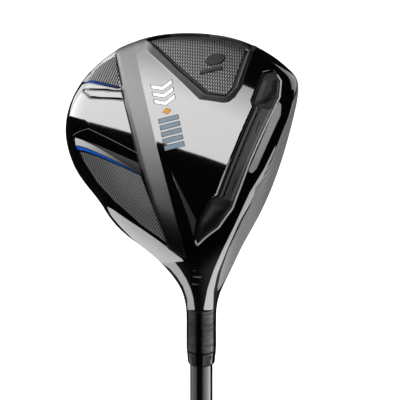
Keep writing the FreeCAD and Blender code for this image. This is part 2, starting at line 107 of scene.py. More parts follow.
FRONT_WIDTH = 16.0
ROUND = {"crown": 3.0, "face": 3.5, "sole": 9.0, "edge": 4.5, "neck": 31.0}


def smooth_max(a, b, width):
    """The larger value, plus a quarter of the width times the squared closeness of the two."""
    share = np.maximum(width - np.abs(a - b), 0.0) / width
    return np.maximum(a, b) + share * share * width * 0.25


def smooth_min(a, b, width):
    """The smaller value, less a quarter of the width times the squared closeness of the two."""
    return -smooth_max(-a, -b, width)


def slope(value, low, high):
    """Straight ramp from 0 at low to 1 at high, for flat facets."""
    return np.clip((value - low) / (high - low), 0, 1)


def ease(value, low, high):
    """Smooth step from 0 at low to 1 at high."""
    t = slope(value, low, high)
    return t * t * (3 - 2 * t)


def plan_radius(angle):
    """Periodic Catmull-Rom curve through the twelve plan radii, 30 degrees apart."""
    count = len(PLAN_RADII)
    place = (angle % (2 * np.pi)) / (2 * np.pi) * count
    index = np.floor(place).astype(int) % count
    t = place - np.floor(place)
    before, here, after, beyond = (PLAN_RADII[(index + step) % count] for step in (-1, 0, 1, 2))
    square = (2 * before - 5 * here + 4 * after - beyond) * t ** 2
    cubic = (3 * here - before - 3 * after + beyond) * t ** 3
    return 0.5 * (2 * here + (after - before) * t + square + cubic)


def to_sole(x, y, z):
    """How far a point lies below the sole's bowl."""
    return (x - SOLE_LOW[0]) ** 2 / (2 * SOLE_RADII[0]) + (y - SOLE_LOW[1]) ** 2 / (2 * SOLE_RADII[1]) - z


def to_crown(x, y, z):
    """How far a point lies above the dome, which falls with the square of the way from its top."""
    ahead = x - CROWN_TOP[0]
    fall = np.where(ahead > 0, CROWN_FALL_FRONT, CROWN_FALL) * ahead ** 2
    fall = fall + CROWN_FALL * (y - CROWN_TOP[1]) ** 2
    return (z - CROWN_TOP[2] + fall) * CROWN_SLANT


def to_skirt(x, y, z):
    """How far a point lies outside the plan outline, drawn in by the square of the height from the middle."""
    dx, dy = x - PLAN_CENTRE[0], y - PLAN_CENTRE[1]
    return np.hypot(dx, dy) - plan_radius(np.arctan2(-dy, dx)) + (z - SKIRT_HEIGHT) ** 2 / SKIRT_CURVE


def to_face(p):
    """How far a point lies outside the face's large ball."""
    return np.sqrt(((p - FACE_BALL) ** 2).sum(-1)) - FACE_RADIUS


def head_value(p):
    """Smooth maximum of skirt, crown and face, joined to the hosel by a smooth minimum, cut by the sole."""
    x, y, z = p[..., 0], p[..., 1], p[..., 2]
    skirt, face = to_skirt(x, y, z), to_face(p)
    along = y * ALONG[1] + z * ALONG[2]
    hosel = np.sqrt(x ** 2 + (y - along * ALONG[1]) ** 2 + (z - along * ALONG[2]) ** 2) - HOSEL_RADIUS
    body = smooth_max(smooth_max(skirt, to_crown(x, y, z), ROUND["crown"]), face, ROUND["face"])
    body = smooth_min(body, hosel, ROUND["neck"])
    front = ease(face - skirt, -FRONT_WIDTH / 2, FRONT_WIDTH / 2)
    return smooth_max(body, to_sole(x, y, z), ROUND["sole"] + (ROUND["edge"] - ROUND["sole"]) * front)


def outward(p, step=0.05):
    """Unit gradient of the head formula, by central differences: the skin's outward direction."""
    axes = np.eye(3) * step
    change = np.stack([head_value(p + a) - head_value(p - a) for a in axes], axis=-1)
    return change / np.linalg.norm(change, axis=-1, keepdims=True)


def reach(start, direction, far=95.0, halvings=26):
    """The skin point on each ray, found by halving the stretch that holds the change of sign."""
    near_t = np.zeros(direction.shape[:-1])
    far_t = np.full(direction.shape[:-1], far)
    for _ in range(halvings):
        middle = 0.5 * (near_t + far_t)
        inside = head_value(start + direction * middle[..., None]) < 0
        near_t = np.where(inside, middle, near_t)
        far_t = np.where(inside, far_t, middle)
    return start + direction * far_t[..., None]


# %% [markdown]
# ## Sections of the head
#
# A grid of points covers the head like the strings of a net. Upright planes cut it from the toe to the
# middle, then the planes fan round until they are square to the shaft, then they follow the hosel. In each
# plane, rays leave a spine point in a full circle. Rays are closer together where the surface is farther
# away, so that the net's cells stay nearly square.

# %% The net of section planes
FAN = (-22.0, 72.0)
SPINE = 16.0
TOE_GAP = 0.02


def toe_tip():
    """The toe-most skin point at the skirt's widest height."""
    angle = np.radians(np.linspace(60, 120, 241))
    rays = np.stack([np.cos(angle), -np.sin(angle), 0 * angle], axis=-1)
    points = reach(np.array([*PLAN_CENTRE, SKIRT_HEIGHT]), rays)
    return points[np.argmin(points[:, 1])]


def spine_planes(upright, turning, straight):
    """Origin, up direction and width factor of each plane, from the toe to the hosel's end."""
    tip = toe_tip()
    bow = np.sin((1 - np.arange(upright) / upright) * np.pi / 2)
    bend = bow ** 3
    zero = np.zeros(upright)
    first = np.stack([PLAN_CENTRE[0] + (tip[0] - PLAN_CENTRE[0]) * bend,
                      FAN[0] + (tip[1] + TOE_GAP - FAN[0]) * bow, SPINE + (tip[2] - SPINE) * bend], -1)
    share = np.arange(turning) / turning
    turn = LIE * share
    meet = FAN[0] * ALONG[1] + FAN[1] * ALONG[2]
    high = math.hypot(FAN[0] - meet * ALONG[1], FAN[1] - meet * ALONG[2])
    arm = (FAN[1] - SPINE) * (1 - share) + high * share
    second = np.stack([PLAN_CENTRE[0] * (1 - share) ** 2, FAN[0] + np.sin(turn) * arm,
                       FAN[1] - np.cos(turn) * arm], -1)
    along = meet + (HOSEL_TOP - meet) * np.arange(straight) / (straight - 1)
    third = along[:, None] * ALONG
    origins = np.concatenate([first, second, third])
    ups = np.concatenate([np.stack([zero, zero, zero + 1], -1),
                          np.stack([0 * turn, -np.sin(turn), np.cos(turn)], -1),
                          np.tile([0.0, -ALONG[2], ALONG[1]], (straight, 1))])
    wide = np.concatenate([2 - bend, 2 - share, np.ones(straight)])
    return origins, ups, wide


def even_angles(low, high, count):
    """Ray angles between two limits whose skin points are evenly spaced round the middle section."""
    fine = np.radians(np.linspace(low, high, 2001))
    rays = np.stack([2 * np.cos(fine), 0 * fine, np.sin(fine)], -1)
    rays /= np.linalg.norm(rays, axis=-1, keepdims=True)
    points = reach(np.array([*PLAN_CENTRE, SPINE]), rays)
    length = np.concatenate([[0], np.cumsum(np.linalg.norm(np.diff(points, axis=0), axis=1))])
    return np.interp(np.linspace(0, length[-1], count), length, fine)


SOLE_COLUMNS = 330
UPPER_COLUMNS = 170
UPRIGHT_ROWS, TURNING_ROWS, STRAIGHT_ROWS = 190, 90, 60
REAR_EDGE, FRONT_EDGE = 176.0, 344.0
ANGLES = np.concatenate([even_angles(REAR_EDGE, FRONT_EDGE, SOLE_COLUMNS + 1)[:-1],
                         even_angles(FRONT_EDGE, REAR_EDGE + 360.0, UPPER_COLUMNS + 1)[:-1]])


def head_net():
    """Skin points in rows (planes) and columns (rays)."""
    origins, ups, wide = spine_planes(UPRIGHT_ROWS, TURNING_ROWS, STRAIGHT_ROWS)
    rays = (np.cos(ANGLES)[None, :, None] * wide[:, None, None] * np.array([1.0, 0, 0])
            + np.sin(ANGLES)[None, :, None] * ups[:, None, :])
    rays /= np.linalg.norm(rays, axis=-1, keepdims=True)
    return reach(origins[:, None, :], rays)


SKIN = head_net()
OUT = outward(SKIN)
print("head net", SKIN.shape[:2], "from", np.round(SKIN.min((0, 1)), 1), "to", np.round(SKIN.max((0, 1)), 1))

# %% [markdown]
# ## Outlines on the sole
#
# The sole is one casting with many levels: a diagonal satin band, a deep triangular recess at the toe, a
# slot behind the face, two ribbed panels at the rear with faceted ramps beside them. Each is a short
# outline in plan. Its signed distance (negative inside) does two jobs. It drives the height of the skin,
# and it is stored on the mesh so that the finish changes along a crisp line that doesn't depend on the
# mesh's cells.

# %% Signed distances and levels
BAND = ((-60.5, -80.0), (-53.2, -65.6), (-42.2, -41.6), (-27.9, -13.0), (-26.2, -9.6), (-18.4, 3.9),
        (-9.8, 18.6), (-2.6, 20.4), (-24.7, -23.3), (-44.8, -65.3), (-44.6, -66.6), (-43.6, -67.7),
        (-41.0, -68.4), (-38.5, -70.0), (-41.0, -73.2), (-43.0, -84.0))
POCKET = ((-43.6, -76.0), (-24.7, -58.8), (-10.8, -48.4), (-3.2, -48.4), (-1.2, -53.0), (-2.0, -80.0),
          (-20.0, -82.7), (-35.4, -80.6))
BADGE = ((-42.9, -76.2), (-24.2, -60.4), (-10.4, -49.9), (-4.1, -49.6), (-2.5, -53.6), (-3.2, -79.4),
         (-20.0, -82.1), (-35.0, -80.0))
POCKET_FRAME = ((-46.0, -83.0), (-43.5, -73.5), (-41.2, -68.2), (-26.5, -56.0), (-13.0, -44.8),
                (-3.4, -44.5), (-1.4, -45.3), (0.2, -48.0), (1.2, -53.5), (0.2, -80.0), (-20.0, -84.0))
SLOT = ((7.2, -62.5), (10.7, -65.0), (14.8, -60.0), (16.4, -52.0), (15.7, -44.0), (10.8, 0.0), (7.5, 8.5),
        (1.2, 15.8), (-0.4, 13.8), (0.2, 6.0), (2.2, -1.8), (4.6, -3.6), (8.2, -45.0), (6.8, -48.0))
TOE_RIBS = ((-46.8, -49.0), (-61.4, -52.6), (-61.0, -58.0), (-58.5, -62.5), (-54.0, -66.3))
HEEL_RIBS = ((-55.0, -18.2), (-26.8, -8.0), (-11.6, 16.4), (-22.3, 11.2), (-35.0, 2.8), (-45.1, -6.3),
             (-52.6, -14.6))
TOE_BLUE = ((-62.0, -52.6), (-46.6, -48.6), (-61.6, -50.9))
HEEL_BLUE = ((-56.9, -20.8), (-26.6, -8.3), (-55.9, -19.2))
TOE_FACET = ((-61.6, -46.8), (-56.8, -42.3), (-42.4, -41.7), (-44.3, -45.8))
# The heel facet is coloured with paint: dark grey over the bevel, and a painted reflection over most of it.
HEEL_BEVEL = ((-58.7, -24.0), (-28.0, -12.6), (-26.6, -8.5), (-57.0, -21.1))
HEEL_PAINTED_REFLECTION = ((-58.1, -24.2), (-26.6, -8.6), (-57.0, -21.1))
# Two thin painted highlights along the heel facet's edges.
HEEL_HIGHLIGHT_LINES = (((-59.4, -25.6), (-53.0, -27.4), (-53.0, -27.2), (-59.3, -25.4)),
              ((-53.0, -27.4), (-30.0, -17.2), (-30.1, -17.0), (-53.1, -27.2)))
WEDGE = ((-15.6, -11.5), (-0.9, 7.8), (-0.6, 13.9), (-4.5, 6.5))


def outline_distance(x, y, corners):
    """Distance to the nearest edge of a closed outline, made negative inside by counting crossings."""
    best = np.full(x.shape, 1e9)
    inside = np.zeros(x.shape, bool)
    for (ax, ay), (bx, by) in zip(corners, corners[1:] + corners[:1]):
        ex, ey = bx - ax, by - ay
        t = np.clip(((x - ax) * ex + (y - ay) * ey) / (ex * ex + ey * ey), 0, 1)
        best = np.minimum(best, np.hypot(x - ax - t * ex, y - ay - t * ey))
        if ay != by:
            crosses = ((ay > y) != (by > y)) & (x < ax + (y - ay) * ex / ey)
            inside ^= crosses
    return np.where(inside, -best, best)


def side_of(x, y, start, end):
    """Signed distance to the line from start to end, positive on its left."""
    ex, ey = end[0] - start[0], end[1] - start[1]
    return (ex * (y - start[1]) - ey * (x - start[0])) / math.hypot(ex, ey)


X, Y, Z = SKIN[..., 0], SKIN[..., 1], SKIN[..., 2]
UNDER = OUT[..., 2] < 0.25
FAR = 50.0
DIST = {}
for name, corners in dict(band=BAND, pocket=POCKET, frame=POCKET_FRAME, slot=SLOT, toe_ribs=TOE_RIBS,
                          heel_ribs=HEEL_RIBS, toe_facet=TOE_FACET, wedge=WEDGE).items():
    DIST[name] = np.where(UNDER, outline_distance(X, Y, corners), FAR)
RIM_OVER_POCKET = ((-44.4, -76.2), (-35.4, -80.4), (-20.0, -82.5), (-2.2, -79.8), (-1.5, -92.0),
                   (-48.0, -92.0))
DIST["frame"] = np.maximum(DIST["frame"], -np.where(UNDER, outline_distance(X, Y, RIM_OVER_POCKET), FAR))
print("outlines:", ", ".join(DIST))

# %% [markdown]
# ## Levels of the casting
#
# Heights are in millimetres along the skin's outward direction. The band and the pocket's frame stand
# proud, the slot and the pocket go in, and the ribbed panels lie at the foot of ramps made of flat facets.
# A facet is a straight ramp: its crisp edges are what gives the cast sole its cut look.

# %% Heights on the sole
BAND_RISE, BAND_RAMP, BAND_FALL = 0.45, 1.8, 0.05
FRAME_RISE, FRAME_RAMP = 0.45, 2.4
POCKET_DEPTH = 2.0
SLOT_DEPTH = 1.0
RIB_LEVEL = 1.0
WEDGE_DEPTH = 0.5
CREASE = 0.22
BAND_RIGHT = ((-44.8, -65.5), (-24.7, -23.3))
BAND_LEFT = ((-53.2, -65.6), (-27.9, -13.0))
BAND_LEFT_HEEL = ((-27.9, -13.0), (-9.8, 18.6))
TOE_RAMP = (((-61.6, -47.2), (-44.3, -46.0)), ((-61.6, -52.4), (-46.6, -48.6)))
HEEL_RAMP = (((-28.0, -12.6), (-59.0, -24.6)), ((-26.6, -8.2), (-55.6, -18.6)))


def ramp_share(top, foot):
    """Share of the way down a flat facet: 0 on its top line and 1 on its foot line."""
    from_top, from_foot = side_of(X, Y, *top), side_of(X, Y, *foot)
    return np.clip(-from_top / np.maximum(from_foot - from_top, 0.4), 0, 1)


def sole_height():
    """Sum of the levels, each a ramp or a smooth step of one outline's distance."""
    d = DIST
    from_right = np.clip(side_of(X, Y, *BAND_RIGHT), 0, 9)
    rise = np.minimum(BAND_RISE * slope(-d["band"], 0.0, BAND_RAMP), from_right * BAND_FALL)
    height = np.maximum(rise, FRAME_RISE * slope(-d["frame"], 0.0, FRAME_RAMP))
    for line, ramp, panel in ((BAND_LEFT, TOE_RAMP, ease(-d["toe_ribs"], -2.4, 0.2)),
                              (BAND_LEFT_HEEL, HEEL_RAMP, ease(-d["heel_ribs"], -2.6, 0.2))):
        beyond = slope(side_of(X, Y, *line), 0.0, 0.5) * UNDER
        height = height - RIB_LEVEL * ramp_share(*ramp) * beyond * panel
    height = height - POCKET_DEPTH * slope(-d["pocket"], -0.7, 0.15)
    height = height - SLOT_DEPTH * ease(-d["slot"], -0.15, 0.45)
    height = height - CREASE * ease(0.45 - np.abs(d["toe_facet"]), 0.0, 0.35)
    height = height - WEDGE_DEPTH * slope(-d["wedge"], 0.0, 1.6)
    return height * UNDER


HEIGHT = sole_height()
print("heights, mm: %.2f to %.2f" % (HEIGHT.min(), HEIGHT.max()))

# %% [markdown]
# ## Masks held in front of the heel
#
# The pale patches at the heel, down the neck and along the leading edge are painted reflections. They wrap
# round the skirt, where a plan outline would smear. The facets they stand for could be cut into the skin, but
# here a stencil is held in front of them. It is square to the direction from which the club is shown, and its
# outlines are in millimetres from the shaft axis at the ground.

# %% Stencil outlines
TURN, TIP_UP = math.radians(17.9), math.radians(20.0)
STENCIL_RIGHT = np.array([math.cos(TURN), math.sin(TURN), 0.0])
STENCIL_OUT = np.array([math.sin(TURN) * math.cos(TIP_UP), -math.cos(TURN) * math.cos(TIP_UP),
                        math.sin(TIP_UP)])
STENCIL_UP = np.cross(STENCIL_OUT, STENCIL_RIGHT)
# Painted reflections: a crescent at the heel, a strip down the neck, a stripe along the leading edge and a lens
# by its top.
CRESCENT = ((-35.8, -4.0), (-33.5, -5.2), (-28.7, -8.5), (-17.3, -16.3), (-6.1, -24.4), (-9.9, -24.8),
            (-15.3, -24.8), (-19.7, -21.9), (-25.3, -16.8), (-30.1, -12.0), (-34.0, -7.6))
NECK_STRIP = ((-15.6, -24.9), (-9.9, -24.9), (-8.0, -27.3), (-5.7, -31.0), (-4.0, -34.8), (-3.1, -38.1),
              (-2.5, -42.9), (-5.2, -42.9), (-5.3, -38.7), (-6.8, -34.1), (-9.2, -30.3), (-12.0, -27.1))
STRIPE = ((28.0, 19.1), (23.5, 10.0), (18.0, 1.0), (12.5, -10.9), (7.9, -20.2), (4.6, -27.7), (2.3, -34.8),
          (0.8, -42.9), (4.4, -42.9), (4.6, -35.8), (6.0, -29.2), (9.7, -19.8), (14.4, -9.5), (18.2, -3.0),
          (23.0, 6.7), (27.8, 17.6))
LENS = ((29.5, 35.6), (30.3, 34.4), (30.0, 30.5), (27.8, 25.9), (20.6, 10.0), (19.2, 8.6), (18.0, 8.7),
        (17.7, 9.6), (22.1, 19.5), (25.9, 28.4), (28.3, 33.8))
FRONT_STRIP = ((37.1, 40.5), (34.8, 36.0), (33.2, 30.6), (27.7, 16.7), (18.2, -3.7), (14.9, -10.0),
               (10.2, -19.8), (7.4, -27.8), (6.1, -33.9), (6.1, -35.8), (9.5, -31.0), (14.0, -24.0),
               (21.0, -13.0), (31.0, 6.1), (38.0, 26.0), (40.0, 36.0))

ROW = to_row(SKIN) / MM - np.array([0.0, 0.0, GROUND_POINT])
ROW_OUT = (to_row(OUT) - to_row(np.zeros(3))) / MM
FACING = ROW_OUT @ STENCIL_OUT > -0.15
ACROSS, UPWARD = ROW @ STENCIL_RIGHT, ROW @ STENCIL_UP


def stencil(outline):
    """Signed distance to an outline on the stencil, for skin that faces it; far off elsewhere."""
    return np.where(FACING, outline_distance(ACROSS, UPWARD, outline), FAR)


TICK_AT, TICK_PITCH, TICK_HALF_WIDE, TICK_HALF_LONG, TICK_LEAN = (-1.6, -30.4), 2.6, 0.28, 1.7, 0.1
loft_u, loft_v = ACROSS - TICK_AT[0], UPWARD - TICK_AT[1]
nearest_tick = np.minimum.reduce([np.abs(loft_v - TICK_PITCH * number) for number in (-1, 0, 1)])
loft_ticks = np.maximum(nearest_tick - TICK_HALF_WIDE, np.abs(loft_u - TICK_LEAN * loft_v) - TICK_HALF_LONG)
loft_mark = np.where(FACING, loft_ticks, FAR)
print("skin in front of the stencil: %.0f %%" % (100 * FACING.mean()))

# %% [markdown]
# ## From points to a mesh
#
# Blender takes points and faces as flat arrays. The grid's faces are worked out in one go, and the normals
# come from the whole net before it is cut into pieces, so that a mirror-black surface shows no line where
# two meet.

# %% Mesh helpers
def grid_faces(rows, columns, wrap=False):
    """Corner numbers of the cells of a grid, row by row; wrap joins the last column to the first."""
    across = columns if wrap else columns - 1
    row, column = np.meshgrid(np.arange(rows - 1), np.arange(across), indexing="ij")
    right = (column + 1) % columns
    return np.stack([row * columns + column, row * columns + right,
                     (row + 1) * columns + right, (row + 1) * columns + column], -1).reshape(-1, 4)


def grid_normals(points, wrap):
    """Cross product of the two central differences of a grid."""
    down = np.gradient(points, axis=0)
    if wrap:
        across = np.roll(points, -1, 1) - np.roll(points, 1, 1)
    else:
        across = np.gradient(points, axis=1)
    normal = np.cross(across, down)
    length = np.linalg.norm(normal, axis=-1, keepdims=True)
    return normal / np.maximum(length, 1e-12)


def make_mesh(name, points, faces, values, normals=None):
    """A mesh object from points in metres, faces, named values for each point and optional normals."""
    mesh = bpy.data.meshes.new(name)
    mesh.vertices.add(len(points))
    mesh.vertices.foreach_set("co", points.astype(np.float32).ravel())
    flat = np.concatenate([np.asarray(f).ravel() for f in faces])
    sizes = np.concatenate([np.full(len(f), np.asarray(f).shape[1]) for f in faces])
    mesh.loops.add(len(flat))
    mesh.loops.foreach_set("vertex_index", flat.astype(np.int32))
    mesh.polygons.add(len(sizes))
    starts = np.concatenate([[0], np.cumsum(sizes)[:-1]])
    mesh.polygons.foreach_set("loop_start", starts.astype(np.int32))
    mesh.update(calc_edges=True)
    mesh.validate()
    mesh.shade_smooth()
    for key, value in values.items():
        layer = mesh.attributes.new(key, "FLOAT", "POINT")
        layer.data.foreach_set("value", value.astype(np.float32).ravel())
    if normals is not None:
        mesh.normals_split_custom_set_from_vertices(normals.reshape(-1, 3).astype(np.float32))
    piece = bpy.data.objects.new(name, mesh)
    bpy.context.scene.collection.objects.link(piece)
    return piece


# %% [markdown]
# ## The steel body's skin
#
# The body is cut into three pieces for size: the sole, the upper part round face and crown, and the hosel.
# The crown's middle is sunk so that the carbon panel sits in it, as on the real head.

# %% Head skin pieces
PANEL_INSET = 6.5
PANEL_FRONT_X, PANEL_HEEL_Y = 11.0, -6.0
PANEL_SEAT = 1.1
NO_LIMIT = 1e3


def panel_edge(angle):
    """Plan radius of the crown panel's edge: the outline moved in, cut off near the face and the neck."""
    ahead, toward_heel = np.cos(angle), -np.sin(angle)
    to_front = (PANEL_FRONT_X - PLAN_CENTRE[0]) / np.maximum(ahead, 0.05)
    to_front = np.where(ahead > 0.05, to_front, NO_LIMIT)
    to_heel = (PANEL_HEEL_Y - PLAN_CENTRE[1]) / np.maximum(toward_heel, 0.05)
    to_heel = np.where(toward_heel > 0.05, to_heel, NO_LIMIT)
    return smooth_min(smooth_min(plan_radius(angle) - PANEL_INSET, to_front, 5.0), to_heel, 9.0)


def panel_distance(x, y):
    """Distance in plan from the panel's edge along the ray from the plan's centre, negative inside."""
    dx, dy = x - PLAN_CENTRE[0], y - PLAN_CENTRE[1]
    return np.hypot(dx, dy) - panel_edge(np.arctan2(-dy, dx))


OVER = OUT[..., 2] > 0.3
BESIDE_FACE = np.maximum(np.maximum(to_skirt(X, Y, Z), to_sole(X, Y, Z)), to_crown(X, Y, Z))
FRONT = np.where(X > -2.0, to_face(SKIN) - BESIDE_FACE - 0.6, -FAR)
DIST["panel"] = np.where(OVER, panel_distance(X, Y), FAR)
HEIGHT = HEIGHT - PANEL_SEAT * ease(-DIST["panel"], 0.5, 1.8) * OVER
BAND_EDGE = (Y > -62) & (Y < -9) & (side_of(X, Y, *BAND_LEFT) > -0.3)
SLOT_FRONT = UNDER & (X > 12.9 - 0.16 * (Y + 65.0))
CRESCENT_MASK, NECK_MASK, STRIPE_MASK, LENS_MASK = (stencil(o) for o in (CRESCENT, NECK_STRIP, STRIPE, LENS))
VALUES = {
    "satin": np.minimum(DIST["band"], np.maximum(DIST["frame"], 0.75 - DIST["pocket"])),
    # frame: 0 where the pocket's frame is painted darker as painted shade, 1 at its rear end and off the frame.
    "frame": np.clip((-X - 39.0) / 5.0, 0, 1) + np.where(DIST["frame"] < 0, 0.0, 1.0),
    # Painted shadow lines along the toe facet's crease and the band's left edge.
    "groove": np.minimum(np.abs(DIST["toe_facet"]) - 0.28,
                         np.where(BAND_EDGE, np.abs(DIST["band"] - 0.35) - 0.3, FAR)),
    "hosel": SKIN @ ALONG,
    "plan_x": X,
    "plan_y": Y,
    "plan_z": Z,
    # light: where the stencil paints pale reflections; tone: how pale each painted reflection is.
    "light": np.minimum.reduce([CRESCENT_MASK, NECK_MASK, STRIPE_MASK, LENS_MASK]),
    "tone": np.select([CRESCENT_MASK < 0.3, NECK_MASK < 0.3, STRIPE_MASK < 0.3], [1.0, 0.78, 0.95], 0.58),
    # Painted shade: the walls round the toe pocket and the slot are painted near black.
    "recess_shade": np.where(DIST["pocket"] < 5.0, DIST["pocket"] - 0.72, DIST["slot"] - 0.42),
    # Painted highlight: a pale line along the slot's front edge.
    "slot_edge_highlight": np.where(SLOT_FRONT, np.abs(DIST["slot"] - 0.35) - 0.28, FAR),
    "front": np.where(ROW_OUT @ STENCIL_OUT > 0.02, -FAR, FRONT),
    "under": UNDER * 1.0,
    "neck": np.where(FACING, np.clip((-UPWARD - 13.0) / 8.0, 0.0, 1.0), 0.0),
    "front_stencil": stencil(FRONT_STRIP),
    "wedge": DIST["wedge"],
    "loft_mark": loft_mark,
}
BODY = to_row(SKIN + OUT * HEIGHT[..., None])
BODY_NORMALS = grid_normals(BODY, wrap=True)
INWARD = (BODY_NORMALS * ROW_OUT).sum(-1).mean() < 0
if INWARD:
    BODY_NORMALS = -BODY_NORMALS


def skin_piece(name, rows, columns, closed_end=False):
    """A block of the net as its own mesh; a closed end has one flat face on its last row."""
    pick = np.ix_(rows, columns)
    faces = [grid_faces(len(rows), len(columns), wrap=len(columns) == BODY.shape[1])]
    if closed_end:
        faces.append((np.arange(len(columns)) + (len(rows) - 1) * len(columns))[None, :])
    if INWARD:
        faces = [f[:, ::-1] for f in faces]
    values = {key: value[pick] for key, value in VALUES.items()}
    return make_mesh(name, BODY[pick].reshape(-1, 3), faces, values, BODY_NORMALS[pick])


ROWS = BODY.shape[0]
SPLIT = UPRIGHT_ROWS + TURNING_ROWS
COLUMNS = np.arange(BODY.shape[1])
sole_skin = skin_piece("sole_skin", np.arange(SPLIT + 1), COLUMNS[:SOLE_COLUMNS + 1])
upper_skin = skin_piece("upper_skin", np.arange(SPLIT + 1), np.concatenate([COLUMNS[SOLE_COLUMNS:], [0]]))
hosel_skin = skin_piece("hosel_skin", np.arange(SPLIT, ROWS), COLUMNS, closed_end=True)
for piece in (sole_skin, upper_skin, hosel_skin):
    print(piece.name, len(piece.data.polygons), "cells")

# %% [markdown]
# ## Turned pieces
#
# The ferrule, the shaft, the grip and its cap are all turned, wound or moulded round shapes: one profile
# swept round the shaft axis. A profile is a list of radius and height pairs; more points come between them
# so that a ring keeps its shape when light grazes it.

# %% Turn a profile
SIDES = 128


def refine(profile, step):
    """Points along a profile no farther apart than the step, all of its corners kept."""
    profile = np.asarray(profile, float)
    out = [profile[:1]]
    for start, end in zip(profile[:-1], profile[1:]):
        count = max(1, int(math.ceil(np.linalg.norm(end - start) / step)))
        out.append(start + (end - start) * (np.arange(1, count + 1) / count)[:, None])
    return np.concatenate(out)


def turn(name, profile, step, push=None):
    """Sweep radius and height in mm round the shaft axis; push moves each point outward in mm."""
    profile = refine(profile, step)
    radius = np.repeat(profile[:, :1], SIDES, 1)
    height = np.repeat(profile[:, 1:], SIDES, 1)
    angle = np.repeat((np.arange(SIDES) / SIDES * 2 * np.pi)[None, :], len(profile), 0)
    if push is not None:
        radius = radius + push(radius, height, angle)
    points = np.stack([radius * np.cos(angle), radius * np.sin(angle), height], -1) * MM
    ring = np.arange(SIDES)
    last = ring + (len(profile) - 1) * SIDES
    faces = [grid_faces(len(profile), SIDES, wrap=True), ring[None, ::-1], last[None, :]]
    return make_mesh(name, points.reshape(-1, 3), faces, {"height": height})


def arc(centre, radius, first, last, count=8):
    """Points of a circular arc in a profile, angles in degrees."""
    angle = np.radians(np.linspace(first, last, count))
    return [(centre[0] + radius * math.cos(a), centre[1] + radius * math.sin(a)) for a in angle]


# %% The ferrule, the shaft, the grip and its cap
SHAFT_TIP, SHAFT_BUTT = 4.25, 7.62
HOSEL_END_Z = GROUND_POINT - HOSEL_TOP
FERRULE_LOW = HOSEL_END_Z - 6.0
LIP_ROUND = 0.75
FERRULE_WIDE, FERRULE_NECK, FERRULE_RIM = 5.52, 5.4, 5.56
ferrule_profile = [(SHAFT_TIP, FERRULE_LOW + 0.3), (SHAFT_TIP + 0.25, FERRULE_LOW)]
ferrule_profile += arc((SHAFT_TIP + 0.1, FERRULE_LOW + 0.85), LIP_ROUND, -80, 0)
ferrule_profile += [(5.3, FERRULE_LOW + 3.0), (FERRULE_WIDE, HOSEL_END_Z - 1.0),
                    (FERRULE_WIDE, HOSEL_END_Z - 0.55),
                    (FERRULE_NECK, HOSEL_END_Z - 0.5), (FERRULE_NECK, HOSEL_END_Z - 0.3),
                    (FERRULE_RIM, HOSEL_END_Z - 0.25), (FERRULE_RIM, HOSEL_END_Z), (SHAFT_TIP, HOSEL_END_Z)]
ferrule = turn("ferrule_ring", ferrule_profile, step=0.3)
shaft_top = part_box("shaft")[1][2] / MM
SHAFT_LOW, TAPER_LOW, TAPER_TOP = 3.5, 300.0, shaft_top - 110.0
shaft_skin = turn("shaft_tube", [(6.4, SHAFT_LOW), (SHAFT_BUTT, SHAFT_LOW), (SHAFT_BUTT, TAPER_LOW),
                                 (SHAFT_TIP, TAPER_TOP), (SHAFT_TIP, shaft_top - 0.4),
                                 (SHAFT_TIP - 0.4, shaft_top), (2.2, shaft_top)], step=6.0)

GRIP_LOW, GRIP_HIGH = 3.4, 267.0
GRIP_BUTT, GRIP_MOUTH = 13.3, 9.0
GRIP_BORE = SHAFT_BUTT + 0.36
DIMPLES_ROUND, DIMPLE_PITCH, DIMPLE_DEPTH = 16, 6.4, 0.32
PANEL_START, PANEL_PITCH = 30.0, 78.0
RING_PITCH, RING_DEPTH = 3.0, 0.3


def grip_radius(z):
    """The outside radius falls from butt to mouth with the power 1.5 of the distance left."""
    left = np.clip((GRIP_HIGH - z) / (GRIP_HIGH - GRIP_LOW), 0, 1)
    return GRIP_MOUTH + (GRIP_BUTT - GRIP_MOUTH) * left ** 1.5


def grip_relief(radius, height, angle):
    """Dimples from the product of two cosines, in long panels with rings between them."""
    outside = (radius > 8.6) & (height > GRIP_LOW + 1.0) & (height < GRIP_HIGH - 3.0)
    wave = np.cos(angle * DIMPLES_ROUND) * np.cos(height * 2 * np.pi / DIMPLE_PITCH)
    dimple = -DIMPLE_DEPTH * ease(wave, 0.15, 0.55)
    panel = ease(np.sin((height - PANEL_START) * 2 * np.pi / PANEL_PITCH), -0.72, -0.55)
    ring = -RING_DEPTH * (1 - panel) * ease(np.cos(height * 2 * np.pi / RING_PITCH), 0.2, 0.7)
    ends = ease(height, 10.0, 12.0) * ease(-height, -258.0, -256.0)
    return np.where(outside, (dimple * panel + ring) * ends, 0.0)


grip_profile = [(GRIP_BORE, GRIP_LOW), (float(grip_radius(GRIP_LOW)) - 0.5, GRIP_LOW)]
grip_profile += [(float(grip_radius(z)), z) for z in [GRIP_LOW + 0.5, *np.linspace(5.0, 264.5, 60)]]
grip_profile += arc((GRIP_MOUTH - 1.2, GRIP_HIGH - 1.2), 1.2, 10, 90, 6) + [(GRIP_BORE, GRIP_HIGH)]
grip_skin = turn("grip_sleeve", grip_profile, step=0.7, push=grip_relief)
VENT, CAP_ROUND, CAP_TOP, CAP_GROOVE = 1.1, 1.3, 3.38, 0.25
cap_profile = [(VENT, 1.8), (VENT, 0.15), (VENT + 0.15, 0.0)]
for near, wide in ((5.0, 6.2), (9.0, 10.0)):
    cap_profile += [(near, 0.0), (near + 0.2, CAP_GROOVE), (wide - 0.2, CAP_GROOVE), (wide, 0.0)]
cap_profile += arc((GRIP_BUTT - CAP_ROUND, CAP_ROUND), CAP_ROUND, -90, 0)
cap_profile += [(GRIP_BUTT, CAP_TOP), (VENT, CAP_TOP)]
cap_skin = turn("grip_end_cap", cap_profile, step=0.4)
for piece in (ferrule, shaft_skin, grip_skin, cap_skin):
    print(piece.name, len(piece.data.polygons), "cells")

